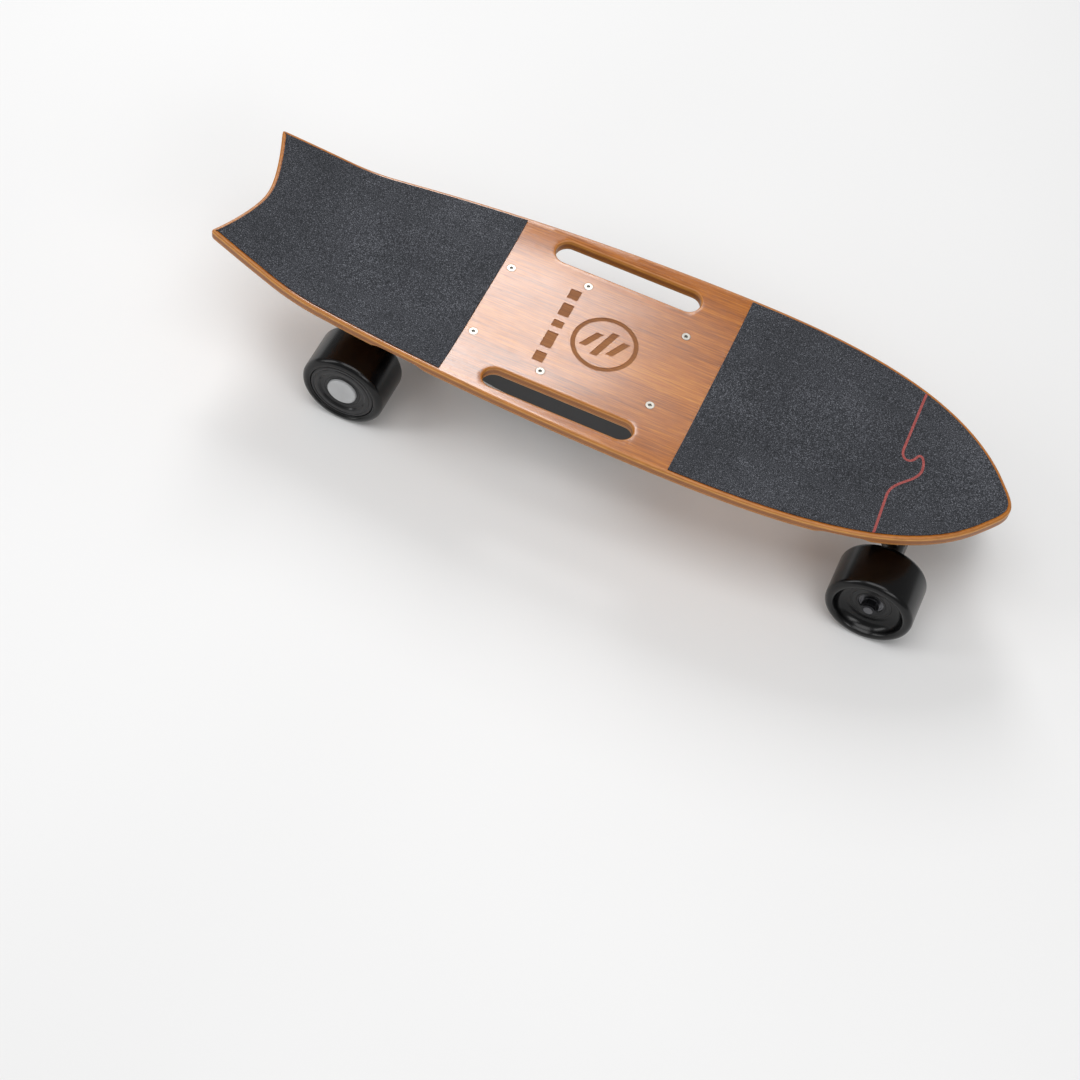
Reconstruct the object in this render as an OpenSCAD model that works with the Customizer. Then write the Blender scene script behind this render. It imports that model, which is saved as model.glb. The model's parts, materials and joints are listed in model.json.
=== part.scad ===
// Electric cruiser skateboard with a swallow-tail wooden deck, two sprung trucks,
// two rear hub motors and an electronics box under the deck.
// +X is the nose, +Y the left side, +Z up. The origin is on the ground under the deck's middle.

/* [Deck] */
// Length from the nose to the tail tips
deck_length = 700; // [690:1:710]
// Width at the widest place
deck_width = 204.6; // [200:0.2:208]
// Thickness of the laminated board
deck_thickness = 10.5; // [9:0.5:11]
// Radius of the hollow that rises to each side
concave_radius = 400; // [350:10:600]
// Half width of the flat strip along the middle
flat_half = 35; // [30:1:40]
// Rise angle of the kicktail
tail_angle = 17; // [12:1:18]
// Bend radius of the kicktail
tail_radius = 155; // [140:5:170]
// Length of each hand slot, end to end
slot_length = 134.5; // [120:0.5:136]
// Width of each hand slot
slot_width = 22; // [18:0.5:22]
// Thickness of the grip tape
grip_thickness = 0.9; // [0.7:0.1:1.2]

/* [Wheels and trucks] */
// Radius of all four wheels
wheel_radius = 38; // [37:0.5:38]
// Width of all four wheels
wheel_width = 45.4; // [44:0.2:46]
// Place of the front axle along the deck
front_axle_x = 274.8; // [272:0.2:276]
// Place of the rear axle along the deck
rear_axle_x = -209.8; // [-212:0.2:-208]
// Height of the deck's underside above the axles
axle_drop = 65.5; // [65:0.5:67]
// Lean of the kingpins from upright
kingpin_lean = 28; // [26:1:30]
// Thickness of the riser under each truck
riser_height = 12.5; // [12:0.5:13]

/* [Electronics box] */
// Depth of the box below its gasket
box_depth = 40; // [39:0.5:42]
// Wall thickness of the box
box_wall = 2.5; // [2:0.25:2.5]
// Radius of the moving power button
button_radius = 5.2; // [4.8:0.1:5.4]

/* [Hidden] */
$fn = 64;
TINY = 0.01;

// Heights
axle_z = wheel_radius;
deck_bottom = axle_z + axle_drop;
deck_top = deck_bottom + deck_thickness;
plate_top = deck_bottom - riser_height;

// Deck outline
half_length = deck_length / 2;
half_width = deck_width / 2;
tail_half = 65.4;
notch_depth = 19;
edge_margin = 3.5;
tail_bend_x = -243;
slot_x = -23.6;
slot_y = 77;
grip_rear_edge = -125;
grip_front_edge = 83.3;
line_x = 262;
line_width = 2.2;

// Screws that hold the box, as [x, y] on the left side
screw_spots = [[-117, 39.2], [-50, 51.6], [45, 41]];
screw_r = 2;
screw_head_r = 3.9;

// Truck frame: local +X points outboard, the axle is at x = 0
ring_x = -28;
ring_z = 59;
ring_half = 4.5;
pivot_reach = 46;
pivot_r = 6;
cup_r = 9;
fit = 0.06;
kingpin_r = 4.75;
kingpin_head_s = 25;
plate_thickness = 6.5;
plate_in = -56;
plate_out = 26;
plate_half = 28;
bolt_x = -15;
bolt_dx = 27;
bolt_dy = 20.65;
bolt_r = 2.5;
washer_t = 1.5;
seat_s = 19;
road_bushing_s = -15.5;
road_washer_s = road_bushing_s - washer_t;
nut_s = road_washer_s - 7.5;

// Wheels: the distances are from the board's middle along the axle
wheel_in = 52;
wheel_out = wheel_in + wheel_width;
axle_r = 4;
bearing_r = 11;
bearing_w = 7;
bearing_in = 63;
bearing_out = 79.4;
tube_r = 9.5;
tube_end = 61;
core_r = 18;
core_in = 62;
core_out = 87.4;
rotor_r = 30;
magnet_r = 25;
stator_r = 24.3;
stator_in = 61;
stator_out = 82;
shaft_r = 6;
cap_r = 13.5;
clamp_end = 40;
lean_room = 15;
flange_in = 46;

// Electronics box
gasket_t = 1.5;
box_top = deck_bottom - gasket_t;
box_floor = box_top - box_depth;
box_front = 52;
box_rear = -124;
box_chamfer = 8;
chamfer_height = 9;
boss_depth = 14;
emblem_x = -18;
emblem_r = 23;
vent_x = -81;
vent_y = 16.5;
lens_x = 14;
gland_y = 8;
gland_z = 88;
side_y = 57;
button_x = -80;
port_x = -59;
side_z = 84;
cell_r = 9.2;
cell_length = 65;
cell_count = 7;
cells_x = -34;
cells_z = box_floor + box_wall + 1 + cell_r;

// Route of the left motor cable, from the motor's shaft to the box
cable_r = 2.4;
cable_route = [[-202, 43, 39], [-194, 43, 41], [-187, 43, 47], [-181, 38, 55], [-175, 29, 63],
    [-166, 20, 71], [-155, 13, 79], [-145, 9, 85.5], [-137, gland_y, gland_z],
    [-129, gland_y, gland_z], [-121, gland_y, gland_z]];

// ---------- curves ----------

// Point on a cubic curve with end points a and d and handles b and c
function bezier(a, b, c, d, t) =
    pow(1 - t, 3) * a + 3 * pow(1 - t, 2) * t * b + 3 * (1 - t) * t * t * c + t * t * t * d;

// n + 1 points along a cubic curve
function curve(a, b, c, d, n) = [for (i = [0:n]) bezier(a, b, c, d, i / n)];

// The list with its first point left out
function rest_of(p) = [for (i = [1:len(p) - 1]) p[i]];

// The list in the other order
function turned(p) = [for (i = [len(p) - 1:-1:0]) p[i]];

// Left edge of the deck, from the notch in the tail to the tip of the nose
widest = 70;
notch = [-half_length + notch_depth, 0];
tail_tip = [-half_length, tail_half];
shoulder = [half_length - 14, 25];
left_edge = concat(
    curve(notch, notch + [0, 18], tail_tip + [8, -19], tail_tip, 8),
    rest_of(curve(tail_tip, tail_tip + [145, 27], [-64, half_width], [widest, half_width], 22)),
    rest_of(curve([widest, half_width], [widest + 100, half_width],
        shoulder + 87 * [-cos(53), sin(53)], shoulder, 22)),
    rest_of(curve(shoulder, shoulder + 9 * [cos(53), -sin(53)], [half_length, 9],
        [half_length, 0], 6)));

// Both edges as one closed outline
function both_sides(p) =
    concat(p, [for (i = [len(p) - 2:-1:1]) [p[i].x, -p[i].y]]);

// Direction square to the outline, to its right, at point i
function side_dir(p, i) =
    let (n = len(p), d = p[(i + 1) % n] - p[(i + n - 1) % n]) [d.y, -d.x] / norm(d);

// The outline moved inwards by m
function inset(p, m) = [for (i = [0:len(p) - 1]) p[i] + m * side_dir(p, i)];

deck_outline = both_sides(left_edge);
grip_outline = inset(deck_outline, edge_margin);

// Height over the deck's top plane of the layer d below the top surface, at distance y
function hollow(y, d) = abs(y) <= flat_half ? -d
    : concave_radius - sqrt(pow(concave_radius + d, 2) - pow(abs(y) - flat_half, 2));

section_half = half_width + 4;
section_steps = 8;
section_ys = [for (i = [0:section_steps]) flat_half + (section_half - flat_half) * i / section_steps];
section_all = concat([for (y = turned(section_ys)) -y], section_ys);

// Cross-section [y, z] of the layer from d1 down to d2 below the top surface
function section(d1, d2) = concat([for (y = section_all) [y, hollow(y, d2)]],
    [for (y = turned(section_all)) [y, hollow(y, d1)]]);

// ---------- deck and grip ----------

// Places of the cross-section along the deck: [x, turn], where turn is the bend angle there
bend_steps = 8;
tail_straight = 90;
stations = concat([[half_length + 2, 0, 0]],
    [for (i = [0:bend_steps]) [tail_bend_x, tail_angle * i / bend_steps, 0]],
    [[tail_bend_x, tail_angle, tail_straight]]);

// Point of the cross-section [y, z] at a station, turned about the bend's axis
function placed(q, s) = let (r = tail_radius - q.y)
    [s[0] - r * sin(s[1]) - s[2] * cos(s[1]), q.x,
        deck_top + tail_radius - r * cos(s[1]) + s[2] * sin(s[1])];

// An uncut layer of the deck: flat, with a kicktail bent upwards
module deck_layer(d1, d2) {
    ring = section(d1, d2);
    m = len(ring);
    n = len(stations);
    polyhedron(points = [for (s = stations, q = ring) placed(q, s)],
        faces = concat([[for (k = [m - 1:-1:0]) k]], [[for (k = [0:m - 1]) (n - 1) * m + k]],
            [for (i = [0:n - 2], k = [0:m - 1])
                [i * m + k, i * m + (k + 1) % m, (i + 1) * m + (k + 1) % m, (i + 1) * m + k]]));
}

// A vertical block over an outline, tall enough for the whole deck
module over(pts) {
    translate([0, 0, deck_bottom - 30]) linear_extrude(100) polygon(pts);
}

// Both sides of whatever is drawn on the left
module both() {
    children();
    mirror([0, 1, 0]) children();
}

// The six places of the box's screws
module screw_places() {
    both() for (s = screw_spots) translate([s.x, s.y, 0]) children();
}

// Places a truck's pieces at the front and at the rear
module front_truck() { translate([front_axle_x, 0, 0]) children(); }
module rear_truck() { translate([rear_axle_x, 0, 0]) mirror([1, 0, 0]) children(); }

// The four bolt places of one truck
module bolt_places() {
    for (sx = [-1, 1], sy = [-1, 1]) translate([bolt_x + sx * bolt_dx, sy * bolt_dy, 0]) children();
}

// Upright stadium-shaped cutter
module stadium(length, width, z0, z1) {
    for (s = [-1, 1]) translate([s * (length - width) / 2, 0, z0]) cylinder(h = z1 - z0, d = width);
    translate([-(length - width) / 2, -width / 2, z0]) cube([length - width, width, z1 - z0]);
}

// Hole with a conical seat that is flush at height z
module countersink(r, head_r, z) {
    rotate([0, 0, 25]) rotate_extrude() polygon([[0, z - 20], [r, z - 20], [r, z - head_r + r],
        [head_r + 3, z + 3], [0, z + 3]]);
}

// Flush height of the deck's top at distance y, for a screw head
function top_at(y) = deck_top + hollow(y, 0);

module deck() {
    color("peru") difference() {
        intersection() {
            deck_layer(0, deck_thickness);
            over(deck_outline);
        }
        both() translate([slot_x, slot_y, 0]) stadium(slot_length, slot_width, deck_bottom - 5, deck_top + 9);
        both() for (s = screw_spots)
            translate([s.x, s.y, 0]) countersink(screw_r + 0.2, screw_head_r + 0.1, top_at(s.y));
        front_truck() bolt_places() countersink(bolt_r + 0.2, 4.8, deck_top);
        rear_truck() bolt_places() countersink(bolt_r + 0.2, 4.8, deck_top);
    }
}

// Grip tape between two places along the deck
module grip(x0, x1) {
    intersection() {
        deck_layer(-grip_thickness, 0);
        over(grip_outline);
        translate([x0, -150, deck_bottom]) cube([x1 - x0, 300, 80]);
    }
}

// The line across the front grip, from side to side, with a hook in the middle
line_hook = curve([line_x - 11.6, 16], [line_x - 11.4, 5], [line_x - 2, 3], [line_x + 1, 13], 10);
line_crest = curve([line_x + 1, 13], [line_x + 4, 21], [line_x + 10, 9], [line_x + 9, 0], 10);
line_fall = curve([line_x + 9, 0], [line_x + 6, -14], [line_x - 9, -18], [line_x - 9.6, -34], 12);
line_path = concat([[line_x - 13, 110]], line_hook, rest_of(line_crest), rest_of(line_fall),
    [[line_x - 5, -110]]);

// Sideways step at point i of the open line
function line_step(p, i) =
    let (d = p[min(i + 1, len(p) - 1)] - p[max(i - 1, 0)]) [-d.y, d.x] / norm(d);

// Band of width w along the line
module line_band(w) {
    n = len(line_path) - 1;
    over(concat([for (i = [0:n]) line_path[i] + line_step(line_path, i) * w / 2],
        [for (i = [n:-1:0]) line_path[i] - line_step(line_path, i) * w / 2]));
}

module grip_tape_rear() {
    color("dimgray") grip(-half_length - 5, grip_rear_edge);
}

module grip_tape_front() {
    color("dimgray") difference() {
        grip(grip_front_edge, half_length + 5);
        line_band(line_width);
    }
}

module grip_line_inlay() {
    color("salmon") intersection() {
        grip(grip_front_edge, half_length + 5);
        line_band(line_width);
    }
}

// Countersunk socket screw, flush at height z
module flat_screw(r, head_r, z, length, socket_r) {
    difference() {
        union() {
            translate([0, 0, z - length]) cylinder(h = length - 1, r = r);
            translate([0, 0, z - head_r + r]) cylinder(h = head_r - r, r1 = r, r2 = head_r);
        }
        translate([0, 0, z - 1.6]) cylinder(h = 3, r = socket_r, $fn = 6);
    }
}

module deck_screws() {
    color("silver") both() for (s = screw_spots)
        translate([s.x, s.y, 0]) flat_screw(screw_r, screw_head_r, top_at(s.y), 22, 1.6);
}

// ---------- trucks ----------

// Block with rounded upright edges, from x0 to x1
module rounded_block(x0, x1, half, r, z0, z1) {
    translate([0, 0, z0]) {
        translate([x0 + r, -half, 0]) cube([x1 - x0 - 2 * r, 2 * half, z1 - z0]);
        translate([x0, -half + r, 0]) cube([x1 - x0, 2 * half - 2 * r, z1 - z0]);
        for (x = [x0 + r, x1 - r], y = [-half + r, half - r])
            translate([x, y, 0]) cylinder(h = z1 - z0, r = r);
    }
}

// Kingpin frame: Z runs up the kingpin from the middle of the hanger's ring
module on_kingpin() { translate([ring_x, 0, ring_z]) rotate([0, -kingpin_lean, 0]) children(); }

// Pivot frame: Z runs up and outboard along the steering axis from the ring's middle
module on_pivot() { translate([ring_x, 0, ring_z]) rotate([0, 90 - kingpin_lean, 0]) children(); }

// Turned about the steering axis by the angle a
module leaned(a) {
    translate([ring_x, 0, ring_z]) rotate(a, [cos(kingpin_lean), 0, sin(kingpin_lean)])
        translate([-ring_x, 0, -ring_z]) children();
}

// Two stacked pads between the deck and the baseplate
module riser_pads() {
    split = plate_top + riser_height * 0.48;
    difference() {
        union() {
            rounded_block(plate_in - 1.5, plate_out + 1.5, plate_half + 1, 6, plate_top, split);
            rounded_block(plate_in - 3, plate_out + 3, plate_half + 2, 6, split + TINY, deck_bottom);
        }
        bolt_places() translate([0, 0, plate_top - 1]) cylinder(h = riser_height + 2, r = bolt_r + 0.2);
    }
}

module baseplate() {
    cup_mid = 47;
    difference() {
        intersection() {
            union() {
                rounded_block(plate_in, plate_out, plate_half, 8, plate_top - plate_thickness, plate_top);
                on_kingpin() translate([0, 0, seat_s]) cylinder(h = 30, r1 = 13.5, r2 = 19);
                on_pivot() translate([0, 0, cup_mid - 9]) cylinder(h = 16, r1 = 11.5, r2 = 13);
                on_pivot() translate([0, 0, cup_mid + 4]) sphere(r = 13.4);
            }
            translate([plate_in, -plate_half, 60]) cube([plate_out - plate_in, 2 * plate_half, plate_top - 60]);
        }
        on_pivot() translate([0, 0, cup_mid - 20]) cylinder(h = 28, r = cup_r);
        on_kingpin() translate([0, 0, -2]) cylinder(h = 30, r = kingpin_r + fit);
        on_kingpin() translate([0, 0, kingpin_head_s]) cylinder(h = 20, r = 7.6);
        on_kingpin() translate([0, 0, seat_s - 12]) cylinder(h = 12, r = 17);
        bolt_places() translate([0, 0, plate_top - 20]) cylinder(h = 22, r = bolt_r + 0.2);
        bolt_places() translate([0, 0, plate_top - plate_thickness - 12]) cylinder(h = 12, r = 6);
    }
}

module pivot_cup() {
    on_pivot() difference() {
        translate([0, 0, 39]) cylinder(h = 15.9, r = cup_r - TINY);
        translate([0, 0, 30]) cylinder(h = pivot_reach - 30, r = pivot_r + fit);
        translate([0, 0, pivot_reach]) sphere(r = pivot_r + fit);
    }
}

// The cup, cut flat under the riser
module trimmed_cup() {
    difference() {
        pivot_cup();
        translate([-60, -60, plate_top - fit]) cube(120);
    }
}

module kingpin() {
    on_kingpin() {
        translate([0, 0, nut_s - 2]) cylinder(h = kingpin_head_s - nut_s + 3, r = kingpin_r);
        translate([0, 0, kingpin_head_s]) cylinder(h = 5.6, r = 7.3);
    }
}

// The soft pair either side of the hanger's ring: a barrel above and a cone below
module bushings() {
    barrel = seat_s - washer_t - ring_half - fit;
    on_kingpin() difference() {
        union() {
            translate([0, 0, ring_half + fit]) rotate_extrude() polygon(concat([[0, 0]],
                curve([11.3, 0], [13.6, 4], [13.6, 9], [11.8, barrel], 10), [[0, barrel]]));
            translate([0, 0, road_bushing_s])
                cylinder(h = -ring_half - fit - road_bushing_s, r1 = 9.6, r2 = 12);
        }
        translate([0, 0, -30]) cylinder(h = 60, r = kingpin_r + 0.1);
    }
}

// Cupped washers outside the two bushings
module bushing_washers() {
    on_kingpin() for (w = [[seat_s - washer_t, 13.2], [road_washer_s, 11]])
        translate([0, 0, w[0]]) difference() {
            cylinder(h = washer_t, r = w[1]);
            translate([0, 0, -1]) cylinder(h = 5, r = kingpin_r + 0.1);
        }
}

module kingpin_nut() {
    on_kingpin() translate([0, 0, nut_s]) difference() {
        union() {
            translate([0, 0, 2.5]) cylinder(h = 5, r = 8.2, $fn = 6);
            cylinder(h = 2.6, r = 6.6);
        }
        translate([0, 0, -1]) cylinder(h = 10, r = kingpin_r);
    }
}

// Side outline [x, z] as a slab across the board, wide enough for either web
module side_slab(pts) { rotate([90, 0, 0]) linear_extrude(80, center = true) polygon(pts); }

// Web from the cross tube up to the ring, narrower towards the ring
module ring_web() {
    intersection() {
        side_slab([[-7, 33], [-26.4, 55.8], [-29.8, 62.3], [-17, 68.6], [4, 45], [0, 34]]);
        translate([0, 0, 20]) linear_extrude(60)
            polygon([[-34, -11], [-34, 11], [-8, 29], [8, 29], [8, -29], [-8, -29]]);
    }
}

// Web from the cross tube up to the pivot nose, narrower towards the nose
module nose_web() {
    intersection() {
        side_slab([[-6, 34], [-18, 66], [-9, 78], [-3, 77], [3, 65], [8.5, 40], [4, 34]]);
        rotate([90, 0, 90]) linear_extrude(80, center = true)
            polygon([[-27, 30], [27, 30], [27, 40], [6.5, 66], [6.5, 84], [-6.5, 84], [-6.5, 66], [-27, 40]]);
    }
}

// Cast body shared by both hangers: ring, pivot nose, web and the cross tube
module hanger_body(end) {
    difference() {
        union() {
            translate([0, -end, axle_z]) rotate([-90, 0, 0]) cylinder(h = 2 * end, r = tube_r);
            on_kingpin() translate([0, 0, -ring_half]) cylinder(h = 2 * ring_half + 1, r = 15);
            on_pivot() translate([0, 0, 26]) cylinder(h = 12, r1 = 9.5, r2 = pivot_r - 0.2);
            on_pivot() translate([0, 0, 30]) cylinder(h = pivot_reach - 30, r = pivot_r);
            on_pivot() translate([0, 0, pivot_reach]) sphere(r = pivot_r);
            ring_web();
            nose_web();
        }
        on_kingpin() translate([0, 0, -10]) cylinder(h = 20, r = 7);
        on_kingpin() translate([0, 0, ring_half]) cylinder(h = 24, r = 15.4);
        on_kingpin() translate([0, 0, -ring_half - 14.6]) cylinder(h = 14.6, r = 13);
        on_kingpin() translate([0, 0, -28]) cylinder(h = 10, r = 9.9);
        for (a = [-lean_room, lean_room]) leaned(a) on_kingpin() {
            translate([0, 0, -18.7]) cylinder(h = 7.7, r = 12.6);
            translate([0, 0, -27]) cylinder(h = 10, r = 9.7);
        }
    }
}

module front_hanger() {
    color("#1c1c1e") front_truck() difference() {
        hanger_body(tube_end);
        translate([0, -80, axle_z]) rotate([-90, 0, 0]) cylinder(h = 160, r = axle_r + TINY);
    }
}

// The rear hanger ends in split clamps that hold the motors' shafts
module rear_hanger() {
    color("#1c1c1e") rear_truck() difference() {
        union() {
            hanger_body(clamp_end);
            both() translate([0, 26, axle_z]) rotate([-90, 0, 0]) {
                cylinder(h = 6, r1 = tube_r, r2 = 14.5);
                translate([0, 0, 6]) cylinder(h = clamp_end - 32, r = 14.5);
            }
            both() translate([-21, 32, axle_z - 7]) cube([12, clamp_end - 32, 14]);
        }
        translate([0, -80, axle_z]) rotate([-90, 0, 0]) cylinder(h = 160, r = shaft_r + TINY);
        both() translate([-24, 31, axle_z - 1]) cube([22, 20, 2]);
        both() translate([-16.5, (32 + clamp_end) / 2, axle_z - 20]) cylinder(h = 40, r = 2.1);
    }
}

// Cap screws that close the two clamps
module motor_clamp_screws() {
    color("#2a2a2c") rear_truck() both() translate([-16.5, (32 + clamp_end) / 2, 0]) difference() {
        union() {
            translate([0, 0, axle_z - 10]) cylinder(h = 18, r = 2);
            translate([0, 0, axle_z - 11]) cylinder(h = 3.95, r = 3.6);
        }
        translate([0, 0, axle_z - 12]) cylinder(h = 2.6, r = 1.7, $fn = 6);
    }
}

// Turns Z into the axle's direction, outwards on the left side
module along_axle() { translate([0, 0, axle_z]) rotate([-90, 0, 0]) children(); }

// Turned ring from radius r0 to r1 between two places along the axle
module ring(r0, r1, y0, y1) {
    along_axle() translate([0, 0, y0]) difference() {
        cylinder(h = y1 - y0, r = r1);
        translate([0, 0, -1]) cylinder(h = y1 - y0 + 2, r = r0);
    }
}

module front_axle() {
    color("silver") front_truck() along_axle() translate([0, 0, -95]) cylinder(h = 190, r = axle_r);
}

// Speed rings beside the inner bearings and tubes between the bearings
module front_axle_spacers() {
    color("silver") front_truck() both() {
        ring(axle_r + TINY, 7, tube_end, bearing_in - 0.05);
        ring(axle_r + TINY, 6, bearing_in + bearing_w + 0.05, bearing_out - 0.05);
        ring(axle_r + TINY, 7, bearing_out + bearing_w + 0.05, bearing_out + bearing_w + 1.2);
    }
}

module front_axle_nuts() {
    color("#3a3a3c") front_truck() both() along_axle()
        translate([0, 0, bearing_out + bearing_w + 1.25]) difference() {
            union() {
                cylinder(h = 5, r = 7.4, $fn = 6);
                translate([0, 0, 5]) cylinder(h = 1.8, r = 5.9);
            }
            translate([0, 0, -1]) cylinder(h = 10, r = axle_r + TINY);
        }
}

// ---------- wheels ----------

// Rounded tread corner: centre [r, y], from angle a0 to a1
function corner(r, y, radius, a0, a1) =
    [for (i = [0:6]) let (a = a0 + (a1 - a0) * i / 6) [r + radius * cos(a), y + radius * sin(a)]];

// Solid of revolution about the axle, from points [radius, place along the axle]
module turned_part(pts) { along_axle() rotate_extrude($fn = 96) polygon(pts); }

// Cast tyre with a deep dish on each side
module front_tyre() {
    turned_part(concat(
        [[core_r, core_in]],
        curve([20, core_in], [28, core_in + 1], [29.5, wheel_in + 5], [31, wheel_in + 0.6], 6),
        corner(wheel_radius - 5, wheel_in + 5, 5, -90, 0),
        corner(wheel_radius - 5, wheel_out - 5, 5, 0, 90),
        curve([31, wheel_out - 0.6], [29.5, wheel_out - 5], [28, core_out - 1], [20, core_out], 6),
        [[core_r, core_out]]));
}

// Moulded core that carries the two bearings
module front_core() {
    turned_part([[bearing_r, core_in], [core_r, core_in], [core_r, core_out], [bearing_r, core_out],
        [bearing_r, bearing_out], [8, bearing_out], [8, bearing_in + bearing_w],
        [bearing_r, bearing_in + bearing_w]]);
}

// Ball bearing with a recessed shield on each face
module bearing(bore_r, outer_r, y0, w) {
    mid0 = bore_r + 2;
    mid1 = outer_r - 1.8;
    turned_part([[bore_r, y0], [mid0, y0], [mid0, y0 + 0.5], [mid1, y0 + 0.5], [mid1, y0], [outer_r, y0],
        [outer_r, y0 + w], [mid1, y0 + w], [mid1, y0 + w - 0.5], [mid0, y0 + w - 0.5],
        [mid0, y0 + w], [bore_r, y0 + w]]);
}

module front_bearings() {
    bearing(axle_r + fit, bearing_r, bearing_in, bearing_w);
    bearing(axle_r + fit, bearing_r, bearing_out, bearing_w);
}

// ---------- hub motors ----------

// Motor shaft, stepped down for the outer bearing
module motor_shaft() {
    along_axle() difference() {
        union() {
            translate([0, 0, 24]) cylinder(h = 60, r = shaft_r);
            translate([0, 0, 84 - TINY]) cylinder(h = 8, r = axle_r);
        }
        translate([0, 0, 23]) cylinder(h = 30, r = 2.5);
        translate([0, 0, 43]) rotate([0, -90, 0]) cylinder(h = 12, r = 2.2);
    }
}

// Slotted iron core with a copper ring of windings on each side
module motor_stator() {
    slots = 12;
    along_axle() {
        difference() {
            translate([0, 0, stator_in + 3]) cylinder(h = stator_out - stator_in - 6, r = stator_r);
            translate([0, 0, stator_in]) cylinder(h = 30, r = shaft_r + TINY);
            for (i = [0:slots - 1]) rotate([0, 0, i * 360 / slots])
                translate([12, -1.6, stator_in]) cube([20, 3.2, 30]);
        }
        for (y = [stator_in, stator_out - 3 + TINY]) translate([0, 0, y]) difference() {
            cylinder(h = 3 - TINY, r = 22);
            translate([0, 0, -1]) cylinder(h = 5, r = 12);
        }
    }
}

// Rotor can: magnets inside, closed and stepped outside, open to the inner flange
module motor_can() {
    turned_part([[magnet_r, stator_in], [27.6, stator_in], [27.6, 55.05], [rotor_r, 55.05],
        [rotor_r, wheel_out - 2.6], [28.6, wheel_out - 1.2], [22, wheel_out - 1.2], [20.5, wheel_out - 3.2],
        [cap_r + 0.1, wheel_out - 3.2], [cap_r + 0.1, wheel_out - 5.2], [bearing_r + 3, wheel_out - 5.2],
        [5, wheel_out - 5.2], [5, 91.6], [bearing_r, 91.6], [bearing_r, 84.4], [13.5, 84.4],
        [13.5, 88], [magnet_r, 88]]);
}

// Polished inner flange: a flat rim with screws, then a tapered hub
module motor_flange() {
    difference() {
        turned_part([[11, 55], [11, 48.4], [9, 48.4], [9, flange_in], [16.5, flange_in], [18, flange_in + 0.8],
            [23.5, 52.4], [29.6, 52.4], [29.6, 55], [27.5, 55], [27.5, 57], [13, 57], [13, 55.5], [11, 55.5]]);
        along_axle() for (i = [0:5]) rotate([0, 0, 60 * i + 30])
            translate([26.6, 0, 50]) cylinder(h = 3.2, r = 1.5, $fn = 24);
    }
}

module motor_bearings() {
    bearing(shaft_r + fit, 11 - TINY, 48.5, 6.9);
    bearing(axle_r + fit, bearing_r - TINY, 84.5, 7);
}

// Plain centre cap
module motor_cap() {
    turned_part([[0, wheel_out - 5.1], [cap_r, wheel_out - 5.1], [cap_r, wheel_out - 1.4],
        [cap_r - 1, wheel_out - 0.4], [0, wheel_out - 0.4]]);
}

// Polyurethane sleeve over the rotor can
module motor_tyre() {
    turned_part(concat([[rotor_r + TINY, wheel_in + 2.4]], [[31.5, wheel_in]],
        corner(wheel_radius - 4.5, wheel_in + 4.5, 4.5, -90, 0),
        corner(wheel_radius - 5, wheel_out - 5, 5, 0, 90),
        [[31.5, wheel_out - 0.2], [rotor_r + TINY, wheel_out - 2]]));
}

// ---------- motor cables ----------

// Smooth point between p[i] and p[i + 1] of an open route
function smooth(p, i, t) =
    let (a = p[max(i - 1, 0)], b = p[i], c = p[i + 1], d = p[min(i + 2, len(p) - 1)])
    0.5 * (2 * b + (c - a) * t + (2 * a - 5 * b + 4 * c - d) * t * t
        + (3 * b - a - 3 * c + d) * t * t * t);

cable_steps = 3;
cable_points = concat([for (i = [0:len(cable_route) - 2], k = [0:cable_steps - 1])
    smooth(cable_route, i, k / cable_steps)], [cable_route[len(cable_route) - 1]]);

// Ring of eight points square to the route at point i
function cable_ring(p, i) =
    let (d = p[min(i + 1, len(p) - 1)] - p[max(i - 1, 0)], t = d / norm(d),
        u0 = cross(t, [0, 0, 1]), u = u0 / norm(u0), v = cross(t, u))
    [for (k = [0:7]) p[i] + cable_r * (cos(45 * k) * u + sin(45 * k) * v)];

module cable() {
    n = len(cable_points);
    polyhedron(points = [for (i = [0:n - 1]) each cable_ring(cable_points, i)],
        faces = concat([[for (k = [0:7]) k]], [[for (k = [7:-1:0]) (n - 1) * 8 + k]],
            [for (i = [0:n - 2], k = [0:7])
                [i * 8 + k, (i + 1) * 8 + k, (i + 1) * 8 + (k + 1) % 8, i * 8 + (k + 1) % 8]]));
}

module motor_cable_left() { color("#161618") cable(); }
module motor_cable_right() { color("#161618") mirror([0, 1, 0]) cable(); }

// Ribbed glands where the cables enter the box
module cable_glands() {
    color("#1e1e20") both() translate([box_rear, gland_y, gland_z]) rotate([0, 90, 0]) difference() {
        union() {
            translate([0, 0, -6]) cylinder(h = 4, r1 = 4, r2 = 5);
            translate([0, 0, -2.5]) cylinder(h = 2.49, r = 6);
            translate([0, 0, -1]) cylinder(h = box_wall + 3, r = 4.5 - TINY);
        }
        translate([0, 0, -10]) cylinder(h = 20, r = cable_r + 0.15);
    }
}

// ---------- electronics box ----------

// Left half of the box's outline, from the rear to the front, moved in by m
function box_half(m) = concat(
    [[box_rear + m, 0], [box_rear + m, 38 - m * 0.6]],
    rest_of(curve([box_rear + m, 38 - m * 0.6], [box_rear + m, 45 - m], [-121 + m, 46.5 - m], [-114 + m * 0.6, 48.5 - m], 5)),
    rest_of(curve([-114 + m * 0.6, 48.5 - m], [-80, 57 - m], [-40, side_y + 1 - m], [38 - m * 0.5, side_y - m], 8)),
    [[box_front - m, 43 - m * 0.5], [box_front - m, 0]]);

// Upright slab with the box's outline moved in by m
module box_slab(m, z0, z1) { translate([0, 0, z0]) linear_extrude(z1 - z0) polygon(both_sides(box_half(m))); }

// Box shape with its lower edges chamfered
module box_form(m, z0, z1) {
    hull() {
        box_slab(m, z0 + chamfer_height, z1);
        box_slab(m + box_chamfer, z0, z0 + 1);
    }
}

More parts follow.
